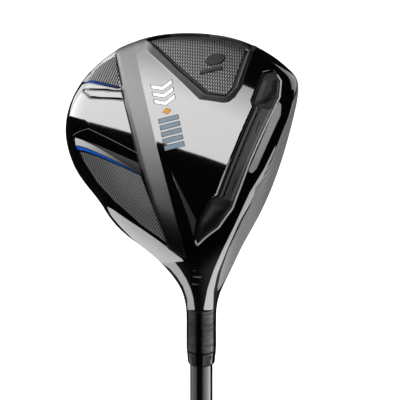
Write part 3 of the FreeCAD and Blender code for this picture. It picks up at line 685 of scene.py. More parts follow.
# %% [markdown]
# ## Patches on the head
#
# The insert, the badge, the ribbed fields, the face plate and the crown panel are patches of the same skin.
# Each is a grid in plan: lines run across an outline, every line is cut to the outline, and its points are
# carried to the skin. Lines that follow a rib or a groove keep that rib crisp with few points. A thickness
# inward closes the patch, as the real part has one.

# %% Patch helpers
def cut_lines(base, direction, corners):
    """First and last distance along each line inside a convex outline, one half plane for each edge."""
    corners = np.asarray(corners, float)
    ahead = np.roll(corners, -1, 0)
    area = (corners[:, 0] * ahead[:, 1] - ahead[:, 0] * corners[:, 1]).sum()
    low = np.full(len(base), -1e3)
    high = np.full(len(base), 1e3)
    for start, end in zip(corners, ahead):
        normal = np.array([end[1] - start[1], start[0] - end[0]]) * (1 if area > 0 else -1)
        speed = direction @ normal
        room = (start - base) @ normal
        hit = room / np.where(np.abs(speed) < 1e-9, 1e-9, speed)
        high = np.where(speed > 0, np.minimum(high, hit), high)
        low = np.where(speed < 0, np.maximum(low, hit), low)
    return low, np.maximum(high, low)


def on_skin(start, direction, far=60.0):
    """Skin points reached from points inside the head, with the skin's outward direction there."""
    points = reach(start, np.broadcast_to(np.asarray(direction, float), start.shape), far=far)
    return points, outward(points)


def thicken(piece, thick):
    """Solidify inward by a thickness in millimetres."""
    solid = piece.modifiers.new("thickness", "SOLIDIFY")
    solid.thickness = thick * MM
    solid.offset = -1.0
    return piece


def patch(name, points, height, out, thick, values):
    """A grid laid on the skin at the given heights, thickened inward by the Solidify modifier."""
    place = to_row(points + out * height[..., None])
    faces = grid_faces(*height.shape)
    turn_out = to_row(out) - to_row(np.zeros(3))
    if (grid_normals(place, False) * turn_out).sum(-1).mean() < 0:
        faces = faces[:, ::-1]
    return thicken(make_mesh(name, place.reshape(-1, 3), [faces], values), thick)


def plan_start(x, y):
    """Points inside the head over or under the given plan places, where rays to the skin start."""
    return np.stack([x, y, np.full(x.shape, INSIDE_Z)], -1)


SOLE_DOWN = (0.0, 0.0, -1.0)
INSIDE_Z = 14.0

# %% [markdown]
# ## Ribbed fields
#
# Two fields of fine ribs are cast into the rear of the sole. They could be a bump texture, but light
# catches each rib, so they are real shapes. Each rib follows a ray of a fan from a far point. Eight grid
# lines make one rib: a rounded top and a narrow valley.

# %% The two ribbed fields
RIB_PITCH = 1.0
LINES_PER_RIB = 8
RIB_FLOOR, RIB_RISE = 0.10, 0.30


def rib_field(name, corners, fan_point, stretch):
    """Ribs along rays from a far point, each with a round top from a power of a cosine."""
    corners = np.asarray(corners, float)
    toward = corners - np.asarray(fan_point)
    angles = np.arctan2(toward[:, 0], -toward[:, 1])
    distance = np.linalg.norm(toward, axis=1).mean()
    count = int((angles.max() - angles.min()) * distance / RIB_PITCH) * LINES_PER_RIB
    line = np.linspace(angles.min() + 1e-4, angles.max() - 1e-4, count)
    direction = np.stack([np.sin(line), -np.cos(line)], -1)
    low, high = cut_lines(np.tile(fan_point, (count, 1)), direction, corners)
    share = np.linspace(0, 1, stretch)[None, :]
    along = low[:, None] + (high - low)[:, None] * share
    x = fan_point[0] + direction[:, :1] * along
    y = fan_point[1] + direction[:, 1:] * along
    points, out = on_skin(plan_start(x, y), SOLE_DOWN)
    top = (0.5 + 0.5 * np.cos(np.arange(count) / LINES_PER_RIB * 2 * np.pi)) ** 0.7
    rib = np.repeat(top[:, None], stretch, 1)
    height = -RIB_LEVEL + RIB_FLOOR + RIB_RISE * rib
    return patch(name, points, height, out, 0.6, {"rib": rib})


toe_ribs = rib_field("toe_ribs", TOE_RIBS, (-61.0, 180.0), 40)
heel_ribs = rib_field("heel_ribs", HEEL_RIBS, (-76.0, 100.0), 50)
for piece in (toe_ribs, heel_ribs):
    print(piece.name, len(piece.data.polygons), "cells")

# %% [markdown]
# ## The badge in the toe recess
#
# The badge is a stamped plate with rows of small dashes, each row half a step from the next. The product of
# two cosines gives that staggered pattern, in the finish. A plain raised disc and a bar stand in its
# middle.

# %% Toe badge
BADGE_PITCH, BADGE_STEP = 0.5, 1.7
BADGE_TOP, EMBLEM_RISE = -1.25, 0.30
DISC_AT, DISC_RADIUS = (-13.2, -67.5), 3.3
BAR_AT, BAR_HALF_WIDE, BAR_HALF_LONG = (-13.0, -61.6), 1.1, 5.0


def row_patch(corners, across, rows, gap):
    """A plan grid over a convex outline: rows at even y, each cut to the outline less the gap."""
    corners = np.asarray(corners, float)
    low_y, high_y = corners[:, 1].min() + gap, corners[:, 1].max() - gap
    y_rows = np.linspace(low_y, high_y, rows)
    low, high = cut_lines(np.stack([0 * y_rows, y_rows], -1), np.tile([1.0, 0.0], (rows, 1)), corners)
    middle = 0.5 * (low + high)
    half = np.maximum(0.5 * (high - low) - gap * 1.4, 0.05)
    x = middle[:, None] + half[:, None] * np.linspace(-1, 1, across)[None, :]
    return x, np.repeat(y_rows[:, None], across, 1)


x, y = row_patch(BADGE, 200, 150, 0.05)
points, out = on_skin(plan_start(x, y), SOLE_DOWN)
disc = np.hypot((x - DISC_AT[0]) * 0.9 + (y - DISC_AT[1]) * 0.25, y - DISC_AT[1]) - DISC_RADIUS
bar_x, bar_y = x - BAR_AT[0], y - BAR_AT[1]
bar = np.abs(bar_x * 0.5 + bar_y) - BAR_HALF_WIDE + FAR * (np.abs(bar_x - 0.5 * bar_y) > BAR_HALF_LONG)
emblem = np.minimum(disc, bar)
flat = ease(-emblem, -0.15, 0.15)
toe_badge = patch("toe_badge_plate", points, BADGE_TOP + EMBLEM_RISE * flat, out, 0.45,
                  {"plan_x": x, "plan_y": y, "emblem": emblem})
print(toe_badge.name, len(toe_badge.data.polygons), "cells")

# %% [markdown]
# ## The insert in the slot
#
# A soft moulded insert closes the slot behind the face. It could be a slab cut to the slot's outline, but
# its ridges follow the slot, so it is a grid with rows from one edge curve to the other. It has a long body
# with a groove and a sunk channel, and a lobe at each end with a raised facet.

# %% Slot insert
SLOT_LEFT = ((-64.8, 9.4), (-62.5, 7.2), (-48.0, 6.8), (-45.0, 8.2), (-3.6, 4.6), (-1.8, 2.2), (6.0, 0.2),
             (13.8, -0.4), (15.6, 0.9))
SLOT_RIGHT = ((-64.8, 10.9), (-60.0, 14.8), (-52.0, 16.4), (-44.0, 15.7), (0.0, 10.8), (8.5, 7.5),
              (15.6, 1.3))
TOE_LOBE_FACET = ((8.6, -59.5), (13.2, -62.0), (14.6, -54.0), (12.2, -47.5), (8.4, -47.8))
HEEL_LOBE_FACET = ((4.2, 0.2), (8.8, 1.2), (5.8, 8.0), (1.6, 13.2), (1.2, 8.0))
INSERT_ROWS, INSERT_COLUMNS = 420, 72
INSERT_TOP, INSERT_GAP = -0.62, 0.15
GROOVE_AT, TICKS_AT, TICKS_Y, TICK_HALF = 2.35, 4.6, (-36.5, -9.5), 2.6
FINE_CUT = 0.18
rows_y = np.linspace(SLOT_LEFT[0][0], SLOT_LEFT[-1][0], INSERT_ROWS)
left = (np.interp(rows_y, *np.array(SLOT_LEFT).T) + INSERT_GAP)[:, None]
right = (np.interp(rows_y, *np.array(SLOT_RIGHT).T) - INSERT_GAP)[:, None]
x = left + (right - left) * np.linspace(0, 1, INSERT_COLUMNS)
y = np.repeat(rows_y[:, None], INSERT_COLUMNS, 1)
from_left, from_right = x - left, right - x
body_part = (1 - ease(-y, 45.5, 46.0)) * (1 - ease(y, -3.2, -2.6))
rim = 1 - ease(np.minimum(from_left, from_right), 0.25, 0.75)
groove = ease(0.30 - np.abs(from_left - GROOVE_AT), 0.0, 0.22)
channel = slope(from_left, 2.6, 3.1) * slope(from_right, 0.7, 1.2)
facet = np.maximum(*(slope(-outline_distance(x, y, o), -0.2, 1.6) for o in (TOE_LOBE_FACET, HEEL_LOBE_FACET)))
vee = np.abs((y + 45.6) + 0.9 * (x - 8.6))
in_tick = np.minimum(*(np.abs(y - at) for at in TICKS_Y)) < TICK_HALF
tick = ease(0.22 - np.abs(from_left - TICKS_AT), 0.0, 0.12) * in_tick
height = INSERT_TOP + 0.34 * rim - (0.30 * groove + 0.22 * channel) * body_part + 0.42 * facet
height = height - FINE_CUT * (tick + ease(0.3 - vee, 0.0, 0.25) * ease(-y, 42.0, 43.0))
points, out = on_skin(plan_start(x, y), SOLE_DOWN)
slot_insert = patch("slot_insert_skin", points, height, out, 1.2,
                    {"tick": tick, "body": body_part, "from_left": from_left, "vee": vee + 9.0 * (y > -42.0)})
print(slot_insert.name, len(slot_insert.data.polygons), "cells")

# %% [markdown]
# ## The face plate
#
# The plate is forged and milled. Scorelines are cut along it at an even pitch, stopping short of the ends.
# They could be a texture, but they are cut as shapes here, in a grid with its rows at even steps along the
# face.

# %% Face plate
FACE_OUTLINE = ((24.0, -73.0), (9.5, -70.5), (7.6, -66.0), (6.3, -40.0), (7.4, -12.0), (10.0, -8.0),
                (22.0, -8.5), (26.5, -12.0), (32.5, -42.0), (27.8, -68.0))
SCORELINE_LOW, SCORELINE_PITCH, SCORELINES, SCORELINE_HALF_LONG, SCORELINE_MIDDLE = 9.5, 2.7, 8, 25.0, -40.0
z, y = row_patch(FACE_OUTLINE, 250, 110, 0.1)
lines_up = (z - SCORELINE_LOW) / SCORELINE_PITCH
number = np.round(lines_up)
near_line = np.abs(lines_up - number) * SCORELINE_PITCH
in_field = (np.abs(y - SCORELINE_MIDDLE) < SCORELINE_HALF_LONG) & (number >= 0) & (number < SCORELINES)
line = ease(0.42 - near_line, 0.0, 0.18) * in_field
start = np.stack([np.zeros(z.shape), y, z], -1)
points, out = on_skin(start, (1.0, 0.0, 0.0))
face_skin = patch("face_plate_skin", points, 0.05 - 0.3 * line, out, 0.9, {"line": line, "face_z": z})
print(face_skin.name, len(face_skin.data.polygons), "cells")

# %% [markdown]
# ## The crown panel
#
# The carbon panel lies on the ledge of the body with a hair gap round it. It is a polar patch: rings from
# the middle to the panel's edge, with a single point in the middle. A clear coat covers the weave.

# %% Crown panel
RINGS, SPOKES = 90, 360
PANEL_SINK, EDGE_DROP, PANEL_GAP = 0.03, 0.25, 0.15
ring = (np.arange(1, RINGS + 1) / RINGS)[:, None]
spoke = np.arange(SPOKES) / SPOKES * 2 * np.pi
reach_out = (panel_edge(spoke) - PANEL_GAP)[None, :] * ring
x = PLAN_CENTRE[0] + reach_out * np.cos(spoke)
y = PLAN_CENTRE[1] - reach_out * np.sin(spoke)
points, out = on_skin(plan_start(x, y), (0.0, 0.0, 1.0))
height = -PANEL_SINK - EDGE_DROP * ease(ring * np.ones_like(x), 0.985, 1.0)
outer = to_row(points + out * height[..., None]).reshape(-1, 3)
centre, centre_out = on_skin(np.array([[*PLAN_CENTRE, INSIDE_Z]]), (0.0, 0.0, 1.0))
around = np.arange(SPOKES)
fan = np.stack([np.full(SPOKES, RINGS * SPOKES), (around + 1) % SPOKES, around], -1)
panel_points = np.concatenate([outer, to_row(centre - centre_out * PANEL_SINK)])
crown_skin = make_mesh("crown_panel_skin", panel_points, [grid_faces(RINGS, SPOKES, wrap=True), fan],
                       {"plan_x": np.append(x, PLAN_CENTRE[0]), "plan_y": np.append(y, PLAN_CENTRE[1])})
thicken(crown_skin, 0.8)
print(crown_skin.name, len(crown_skin.data.polygons), "cells")

# %% [markdown]
# ## Finishes
#
# The sole is sprayed gloss black over polished steel, and parts are masked to stay satin. All of that is
# one material whose masks are the stored distances. A second group of finishes is carbon, rubber, urethane,
# graphite and the plain ones hidden inside. A shared node group gives the fine grain that every cast or
# moulded part has.

# %% Node helpers
def link(tree, source, target):
    """Join an output socket to an input socket."""
    tree.links.new(source, target)


def add(tree, kind, settings=None, inputs=None, **fields):
    """A node with its fields and inputs set; an input that is a socket is linked, another is a constant."""
    node = tree.nodes.new(kind)
    for key, value in fields.items():
        setattr(node, key, value)
    for key, value in (inputs or {}).items():
        if isinstance(value, bpy.types.NodeSocket):
            tree.links.new(value, node.inputs[key])
        else:
            node.inputs[key].default_value = value
    return node


def stored(tree, name):
    """A value that the mesh carries for each point."""
    return add(tree, "ShaderNodeAttribute", attribute_name=name).outputs["Fac"]


def step(tree, value, low, high):
    """0 below low and 1 above high, smooth between; low may be the larger of the two."""
    return add(tree, "ShaderNodeMapRange", interpolation_type="SMOOTHSTEP",
               inputs={"Value": value, "From Min": low, "From Max": high}).outputs["Result"]


def maths(tree, operation, *values):
    """One Math node; each value is a socket or a number."""
    node = tree.nodes.new("ShaderNodeMath")
    node.operation = operation
    for socket, value in zip(node.inputs, values):
        if isinstance(value, bpy.types.NodeSocket):
            tree.links.new(value, socket)
        else:
            socket.default_value = value
    return node.outputs[0]


def times(tree, a, b):
    """Product of two values."""
    return maths(tree, "MULTIPLY", a, b)


def plus(tree, a, b):
    """Sum of two values."""
    return maths(tree, "ADD", a, b)


def minus(tree, a, b):
    """The first value less the second."""
    return maths(tree, "SUBTRACT", a, b)


def smallest(tree, *values):
    """The smallest of several values, taken two at a time."""
    return functools.reduce(lambda a, b: maths(tree, "MINIMUM", a, b), values)


def largest(tree, *values):
    """The largest of several values, taken two at a time."""
    return functools.reduce(lambda a, b: maths(tree, "MAXIMUM", a, b), values)


def blend_colour(tree, mask, first, second):
    """A colour that goes from the first to the second with the mask."""
    node = add(tree, "ShaderNodeMix", data_type="RGBA")
    tree.links.new(mask, node.inputs[0])
    for socket, value in ((node.inputs[6], first), (node.inputs[7], second)):
        if isinstance(value, bpy.types.NodeSocket):
            tree.links.new(value, socket)
        else:
            socket.default_value = (*value, 1.0)
    return node.outputs[2]


def blend_value(tree, mask, first, second):
    """A value that goes from the first number to the second with the mask."""
    inputs = {"Value": mask, "To Min": first, "To Max": second}
    return add(tree, "ShaderNodeMapRange", inputs=inputs).outputs["Result"]


def mix_values(tree, mask, first, second):
    """A value that goes from the first socket's to the second's with the mask."""
    node = add(tree, "ShaderNodeMix", data_type="FLOAT")
    for socket, value in zip((node.inputs[0], node.inputs[2], node.inputs[3]), (mask, first, second)):
        link(tree, value, socket)
    return node.outputs[0]


def grey(level):
    """A neutral colour."""
    return (level, level, level)


def grain_group():
    """Fine grain of a blasted or moulded surface: two sizes of noise, as a value and a height."""
    group = bpy.data.node_groups.new("fine_grain", "ShaderNodeTree")
    group.interface.new_socket("Scale", in_out="INPUT", socket_type="NodeSocketFloat").default_value = 4000.0
    group.interface.new_socket("Value", in_out="OUTPUT", socket_type="NodeSocketFloat")
    group.interface.new_socket("Height", in_out="OUTPUT", socket_type="NodeSocketFloat")
    into, out = group.nodes.new("NodeGroupInput"), group.nodes.new("NodeGroupOutput")
    where = group.nodes.new("ShaderNodeTexCoord").outputs["Object"]
    fine = add(group, "ShaderNodeTexNoise",
               inputs={"Vector": where, "Scale": into.outputs["Scale"], "Detail": 2.0})
    broad = add(group, "ShaderNodeTexNoise", inputs={"Vector": where, "Scale": 90.0, "Detail": 3.0})
    both = plus(group, times(group, fine.outputs["Fac"], 0.65), times(group, broad.outputs["Fac"], 0.35))
    group.links.new(both, out.inputs["Value"])
    group.links.new(fine.outputs["Fac"], out.inputs["Height"])
    return group


GRAIN = grain_group()


def grain(tree, scale):
    """The grain group placed in a material with its own scale; its value and its height come out."""
    node = tree.nodes.new("ShaderNodeGroup")
    node.node_tree = GRAIN
    node.inputs["Scale"].default_value = scale
    return node.outputs["Value"], node.outputs["Height"]


def material(name, **constants):
    """An empty Principled material with constants on the shader's own sockets."""
    made = bpy.data.materials.new(name)
    made.use_nodes = True
    shader = made.node_tree.nodes["Principled BSDF"]
    for key, value in constants.items():
        socket = shader.inputs[key.replace("_", " ")]
        socket.default_value = (*value, 1.0) if isinstance(value, tuple) else value
    return made, made.node_tree, shader


def bump(tree, shader, height, strength, distance):
    """A Bump node from a height to the shader's normal, its distance in metres."""
    node = add(tree, "ShaderNodeBump", inputs={"Height": height, "Strength": strength, "Distance": distance})
    tree.links.new(node.outputs["Normal"], shader.inputs["Normal"])


def plain_finish(name, dark, light, rough, scale=3000.0, depth=0.15, **constants):
    """A moulded, cast or turned surface: grain varies its colour, its roughness and its height."""
    made, tree, shader = material(name, **constants)
    value, height = grain(tree, scale)
    link(tree, blend_colour(tree, value, dark, light), shader.inputs["Base Color"])
    link(tree, blend_value(tree, value, rough[0], rough[1]), shader.inputs["Roughness"])
    bump(tree, shader, height, depth, 0.00005)
    return made


def line_side(tree, x, y, start, end):
    """Distance to the right of the line from start to end, from two sockets; negative on its left."""
    ex, ey = end[0] - start[0], end[1] - start[1]
    length = math.hypot(ex, ey)
    across = plus(tree, times(tree, x, ey / length), times(tree, y, -ex / length))
    return minus(tree, across, (start[0] * ey - start[1] * ex) / length)


def convex(tree, x, y, corners):
    """Distance to a convex outline: the largest of its edges' distances, whichever way round it runs."""
    ring = list(corners) + [corners[0]]
    area = sum(a[0] * b[1] - b[0] * a[1] for a, b in zip(ring, ring[1:]))
    if area < 0:
        ring = ring[::-1]
    result = None
    for start, end in zip(ring, ring[1:]):
        edge = line_side(tree, x, y, start, end)
        result = edge if result is None else largest(tree, result, edge)
    return result


print("node groups:", [group.name for group in bpy.data.node_groups])

# %% [markdown]
# ## The body's finish
#
# Satin areas are bare steel, darkened by a smoky coating, with a grain. Gloss areas are black lacquer. Each
# mask is a stored distance passed through a narrow step, so its edge is a hair wide. The paint in the
# accent grooves is blue. The hosel's parallel part is brushed round its axis. Other masks paint light and
# shade: pale painted reflections at the heel, down the neck and along the leading edge, painted highlights by
# the slot and on the heel facet, painted shade in the recesses, creases and round the sole graphic, and a
# darker forward part on the pocket's frame. The white vees also glow a little, as painted light.

# %% Body material
GRAPHIC_START = (-33.6, -50.3)
GRAPHIC_ALONG = (0.414, 0.910)
GRAPHIC_MIDDLE, HALF_WIDE = 3.6, 4.0
VEES, VEE_HALF, VEE_SLANT = (3.6, 7.6, 11.6), 0.95, 0.6
DIAMOND, DIAMOND_HALF = 15.6, 1.5
BARS, BAR_HALF, BAR_HALF_BROAD = (19.6, 22.9, 26.2, 29.5, 32.8), 0.95, 3.7


def sole_graphic(tree, x, y):
    """Three vees, a small diamond and five bars, from distances along and across the graphic's axis."""
    px, py = minus(tree, x, GRAPHIC_START[0]), minus(tree, y, GRAPHIC_START[1])
    along = plus(tree, times(tree, px, GRAPHIC_ALONG[0]), times(tree, py, GRAPHIC_ALONG[1]))
    across = minus(tree, times(tree, px, GRAPHIC_ALONG[1]), times(tree, py, GRAPHIC_ALONG[0]))
    wide = maths(tree, "ABSOLUTE", minus(tree, across, GRAPHIC_MIDDLE))
    bent = plus(tree, along, times(tree, wide, VEE_SLANT))

    def strip(value, middle, half, broad):
        """Distance to a strip round a middle value, cut off at its half width."""
        away = maths(tree, "ABSOLUTE", minus(tree, value, middle))
        return largest(tree, minus(tree, away, half), minus(tree, wide, broad))

    white = smallest(tree, *(strip(bent, tip, VEE_HALF, HALF_WIDE) for tip in VEES))
    from_diamond = plus(tree, maths(tree, "ABSOLUTE", minus(tree, along, DIAMOND)), wide)
    pale = smallest(tree, *(strip(along, middle, BAR_HALF, BAR_HALF_BROAD) for middle in BARS))
    return white, minus(tree, from_diamond, DIAMOND_HALF), pale


BARE_HOSEL = (44.35, 44.5)
MILL_LINES, BRUSH_LINES = 5.6, 3.2


def body_finish():
    """Black lacquer, satin steel, small paints and painted light and shade on one skin, each where its mask is
    1.
    """
    made, tree, shader = material("body_black_and_satin", IOR=1.3, Coat_IOR=1.95, Coat_Roughness=0.035,
                                  Emission_Strength=1.0)
    value, height = grain(tree, 5200.0)
    x, y = stored(tree, "plan_x"), stored(tree, "plan_y")
    under = step(tree, stored(tree, "under"), 0.4, 0.6)

    def inside(distance, width=0.05):
        """1 where a distance is negative, with a narrow step at its edge."""
        return step(tree, distance, width, -width)

    def below(distance):
        """The same, on the underside only."""
        return times(tree, inside(distance), under)

    def grained(dark, light):
        """A neutral colour that varies with the grain between two levels."""
        return blend_colour(tree, value, grey(dark), grey(light))

    hosel = step(tree, stored(tree, "hosel"), *BARE_HOSEL)
    satin = largest(tree, inside(stored(tree, "satin")), hosel)
    blue = below(smallest(tree, convex(tree, x, y, TOE_BLUE), convex(tree, x, y, HEEL_BLUE)))
    # Painted reflections held by the stencil, pale grey with no clear coat.
    light = inside(stored(tree, "light"), 0.08)
    # Painted shade in the toe pocket and the slot.
    recess_shade = inside(stored(tree, "recess_shade"), 0.1)
    # The heel bevel in dark grey and the painted reflection laid over it.
    bevel = below(convex(tree, x, y, HEEL_BEVEL))
    # Painted highlight lines on the heel facet's edges.
    heel_highlight_line = below(smallest(tree, *(convex(tree, x, y, corners) for corners in HEEL_HIGHLIGHT_LINES)))
    heel_painted_reflection = below(convex(tree, x, y, HEEL_PAINTED_REFLECTION))
    # Painted highlight along the slot's front edge.
    slot_edge_highlight = inside(stored(tree, "slot_edge_highlight"))
    front = step(tree, stored(tree, "front"), 0.5, 0.7)
    front = largest(tree, inside(stored(tree, "front_stencil"), 0.1), front)
    white, orange, pale = sole_graphic(tree, x, y)
    # Painted shade: a dark grey outline round the sole graphic.
    edge = below(minus(tree, smallest(tree, white, orange, pale), 0.28))
    white, orange, pale = below(white), below(orange), below(pale)
    loft = inside(stored(tree, "loft_mark"))
    wedge = inside(stored(tree, "wedge"), 0.1)
    # Painted shadow lines in the creases.
    groove = inside(stored(tree, "groove"), 0.06)
    mill = maths(tree, "SINE", times(tree, stored(tree, "plan_z"), MILL_LINES))

    # Satin steel: the pocket's frame darker as painted shade, the band and the frame's rear end lighter.
    steel = blend_colour(tree, stored(tree, "frame"), grained(0.036, 0.052),
                         blend_colour(tree, value, grey(0.118), (0.170, 0.170, 0.171)))
    steel = blend_colour(tree, hosel, steel, grained(0.07, 0.12))
    colour = blend_colour(tree, satin, grey(0.0006), steel)
    # Painted reflection on the heel facet: dark grey towards the middle, pale towards the rear.
    heel_painted_reflection_tone = blend_colour(tree, step(tree, x, -30.0, -57.0), grey(0.07), grey(0.60))
    front_tone = blend_colour(tree, step(tree, mill, -0.4, 0.4), grey(0.12), grey(0.52))
    # Tone of the painted reflections, from black to pale grey.
    painted_reflection_tone = blend_colour(tree, stored(tree, "tone"), grey(0.0), (0.60, 0.60, 0.59))
    # Real paints and painted light and shade, laid over the base colour one after another.
    paints_and_painted_light = ((recess_shade, grey(0.001)), (wedge, grey(0.030)), (bevel, grey(0.040)), (heel_painted_reflection, heel_painted_reflection_tone),
             (front, front_tone), (light, painted_reflection_tone), (slot_edge_highlight, grey(0.50)), (blue, (0.0, 0.10, 0.58)),
             (edge, grey(0.05)), (white, grey(0.95)), (pale, (0.27, 0.36, 0.44)),
             (orange, (0.95, 0.42, 0.005)), (loft, grey(0.10)), (groove, grey(0.001)), (heel_highlight_line, grey(0.16)))
    for mask, tone in paints_and_painted_light:
        colour = blend_colour(tree, mask, colour, tone)
    link(tree, colour, shader.inputs["Base Color"])
    # Painted light: the white vees also glow a little, though they are no lamp.
    link(tree, blend_colour(tree, white, grey(0.0), grey(0.3)), shader.inputs["Emission Color"])

    paint = largest(tree, light, slot_edge_highlight, blue, edge, loft, wedge, groove, recess_shade, bevel, heel_highlight_line)
    metal = largest(tree, satin, times(tree, front, 0.25))
    link(tree, times(tree, metal, minus(tree, 1.0, paint)), shader.inputs["Metallic"])
    bare = largest(tree, satin, front, paint, stored(tree, "neck"))
    link(tree, minus(tree, 1.0, bare), shader.inputs["Coat Weight"])
    gloss, dull = blend_value(tree, value, 0.03, 0.045), blend_value(tree, value, 0.34, 0.46)
    rough = mix_values(tree, bare, gloss, dull)
    rough = mix_values(tree, hosel, rough, blend_value(tree, value, 0.14, 0.24))
    link(tree, rough, shader.inputs["Roughness"])
    brushed = add(tree, "ShaderNodeTexNoise", noise_dimensions="1D",
                  inputs={"W": times(tree, stored(tree, "hosel"), BRUSH_LINES), "Scale": 1.0, "Detail": 3.0})
    ring = times(tree, brushed.outputs["Fac"], times(tree, hosel, 3.0))
    speckle = times(tree, height, times(tree, satin, 0.5))
    bump(tree, shader, plus(tree, plus(tree, ring, times(tree, mill, front)), speckle), 0.4, 0.00006)
    return made


BODY_FINISH = body_finish()


# %% [markdown]
# ## The other finishes
#
# The ribs are the same smoky steel, with painted shade in the valleys. The badge is bright dashes on black.
# Carbon is a two-by-two twill: two sets of threads, each seen on alternate squares, under a thick clear coat.

# %% Patch and part materials
def ribbed_finish():
    """Smoky steel on the rib tops, with painted shade darkening the valleys."""
    made, tree, shader = material("ribbed_steel", Metallic=0.35)
    value, height = grain(tree, 4200.0)
    rib = stored(tree, "rib")
    tone = blend_colour(tree, value, grey(0.20), grey(0.27))
    # Painted shade: the valleys between the ribs are darker.
    link(tree, blend_colour(tree, step(tree, rib, 0.1, 0.8), grey(0.045), tone), shader.inputs["Base Color"])
    link(tree, blend_value(tree, value, 0.32, 0.45), shader.inputs["Roughness"])
    bump(tree, shader, height, 0.2, 0.00004)
    return made


def badge_finish():
    """Bright raised dashes on black: a dash stands where the product of two cosines is high."""
    made, tree, shader = material("dashed_badge", Metallic=0.5)
    value, height = grain(tree, 4200.0)
    emblem = step(tree, stored(tree, "emblem"), 0.1, -0.1)
    column = maths(tree, "COSINE", times(tree, stored(tree, "plan_x"), math.pi / BADGE_PITCH))
    row = maths(tree, "COSINE", times(tree, stored(tree, "plan_y"), math.pi / BADGE_STEP))
    dash = step(tree, times(tree, column, row), 0.05, 0.5)
    colour = blend_colour(tree, dash, grey(0.004), blend_colour(tree, value, grey(0.20), grey(0.28)))
    link(tree, blend_colour(tree, emblem, colour, grey(0.005)), shader.inputs["Base Color"])
    link(tree, blend_value(tree, value, 0.25, 0.4), shader.inputs["Roughness"])
    raised = times(tree, dash, minus(tree, 1.0, emblem))
    bump(tree, shader, plus(tree, raised, times(tree, height, 0.15)), 0.5, 0.0001)
    return made


def insert_finish():
    """Dark matt urethane, with painted shade in its groove and cuts and a painted highlight on its ridge."""
    made, tree, shader = material("moulded_urethane", IOR=1.42)
    value, height = grain(tree, 3800.0)
    body, across = stored(tree, "body"), stored(tree, "from_left")
    lobe = blend_colour(tree, value, grey(0.003), grey(0.006))
    flat = blend_colour(tree, value, grey(0.034), grey(0.048))
    # Painted shade: near black along the outer edge, in the groove and in the tick cuts.
    dark = largest(tree, step(tree, across, 0.9, 0.8),
                 times(tree, step(tree, across, 1.75, 1.85), step(tree, across, 2.75, 2.65)))
    dark = largest(tree, dark, stored(tree, "tick"))
    # Painted highlight: a paler line on the channel's sloped wall.
    ridge = times(tree, step(tree, across, 2.65, 2.75), step(tree, across, 3.1, 3.0))
    colour = blend_colour(tree, ridge, flat, grey(0.085))
    colour = blend_colour(tree, dark, colour, grey(0.002))
    colour = blend_colour(tree, body, lobe, colour)
    # Painted shade in the vee cut.
    colour = blend_colour(tree, step(tree, stored(tree, "vee"), 0.35, 0.2), colour, grey(0.002))
    link(tree, colour, shader.inputs["Base Color"])
    rough = plus(tree, blend_value(tree, value, 0.50, 0.62), times(tree, body, -0.12))
    link(tree, rough, shader.inputs["Roughness"])
    bump(tree, shader, height, 0.25, 0.00005)
    return made


def face_finish():
    """Milled steel with painted shade in the scorelines, and fine lines along the face."""
    made, tree, shader = material("milled_face_steel", Metallic=0.25)
    value, height = grain(tree, 4200.0)
    # Painted shade: the scorelines are near black.
    line = step(tree, stored(tree, "line"), 0.2, 0.7)
    tone = blend_colour(tree, value, grey(0.27), grey(0.34))
    link(tree, blend_colour(tree, line, tone, grey(0.02)), shader.inputs["Base Color"])
    link(tree, blend_value(tree, value, 0.26, 0.36), shader.inputs["Roughness"])
    mill = maths(tree, "SINE", times(tree, stored(tree, "face_z"), 4.8))
    bump(tree, shader, plus(tree, height, mill), 0.3, 0.00005)
    return made


SQUARES_PER_MM, THREADS = 0.55, 44.0


def carbon_finish():
    """A twill: threads run both ways, and which is on top steps by one square in each row."""
    made, tree, shader = material("carbon_crown", Metallic=0.35, Coat_Weight=1.0, Coat_Roughness=0.03,
                                  IOR=1.6)
    x = times(tree, stored(tree, "plan_x"), SQUARES_PER_MM)
    y = times(tree, stored(tree, "plan_y"), SQUARES_PER_MM)
    u = plus(tree, x, y)
    v = minus(tree, x, y)
    squares = plus(tree, maths(tree, "FLOOR", u), maths(tree, "FLOOR", v))
    order = maths(tree, "FRACT", times(tree, squares, 0.25))
    over = step(tree, order, 0.45, 0.55)
    thread = maths(tree, "SINE", times(tree, u, THREADS))
    other = maths(tree, "SINE", times(tree, v, THREADS))
    tone = blend_colour(tree, over, (0.010, 0.010, 0.011), (0.030, 0.030, 0.032))
    link(tree, tone, shader.inputs["Base Color"])
    link(tree, blend_value(tree, over, 0.28, 0.42), shader.inputs["Roughness"])
    bump(tree, shader, mix_values(tree, over, thread, other), 0.2, 0.00004)
    return made


def wound_finish():
    """Graphite shaft: black paint with a faint wound layer under a clear coat, and bands near the grip."""
    made, tree, shader = material("painted_graphite", Coat_Weight=1.0, Coat_Roughness=0.05)
    value, height = grain(tree, 700.0)
    z = stored(tree, "height")
    band = times(tree, step(tree, z, 330.0, 330.4), step(tree, z, 342.4, 342.0))
    thin = times(tree, step(tree, z, 348.0, 348.3), step(tree, z, 350.3, 350.0))
    dark = blend_colour(tree, value, (0.0008, 0.0008, 0.0009), (0.003, 0.003, 0.0033))
    colour = blend_colour(tree, band, dark, (0.002, 0.03, 0.24))
    link(tree, blend_colour(tree, thin, colour, grey(0.45)), shader.inputs["Base Color"])
    link(tree, blend_value(tree, value, 0.16, 0.26), shader.inputs["Roughness"])
    bump(tree, shader, height, 0.08, 0.00005)
    return made


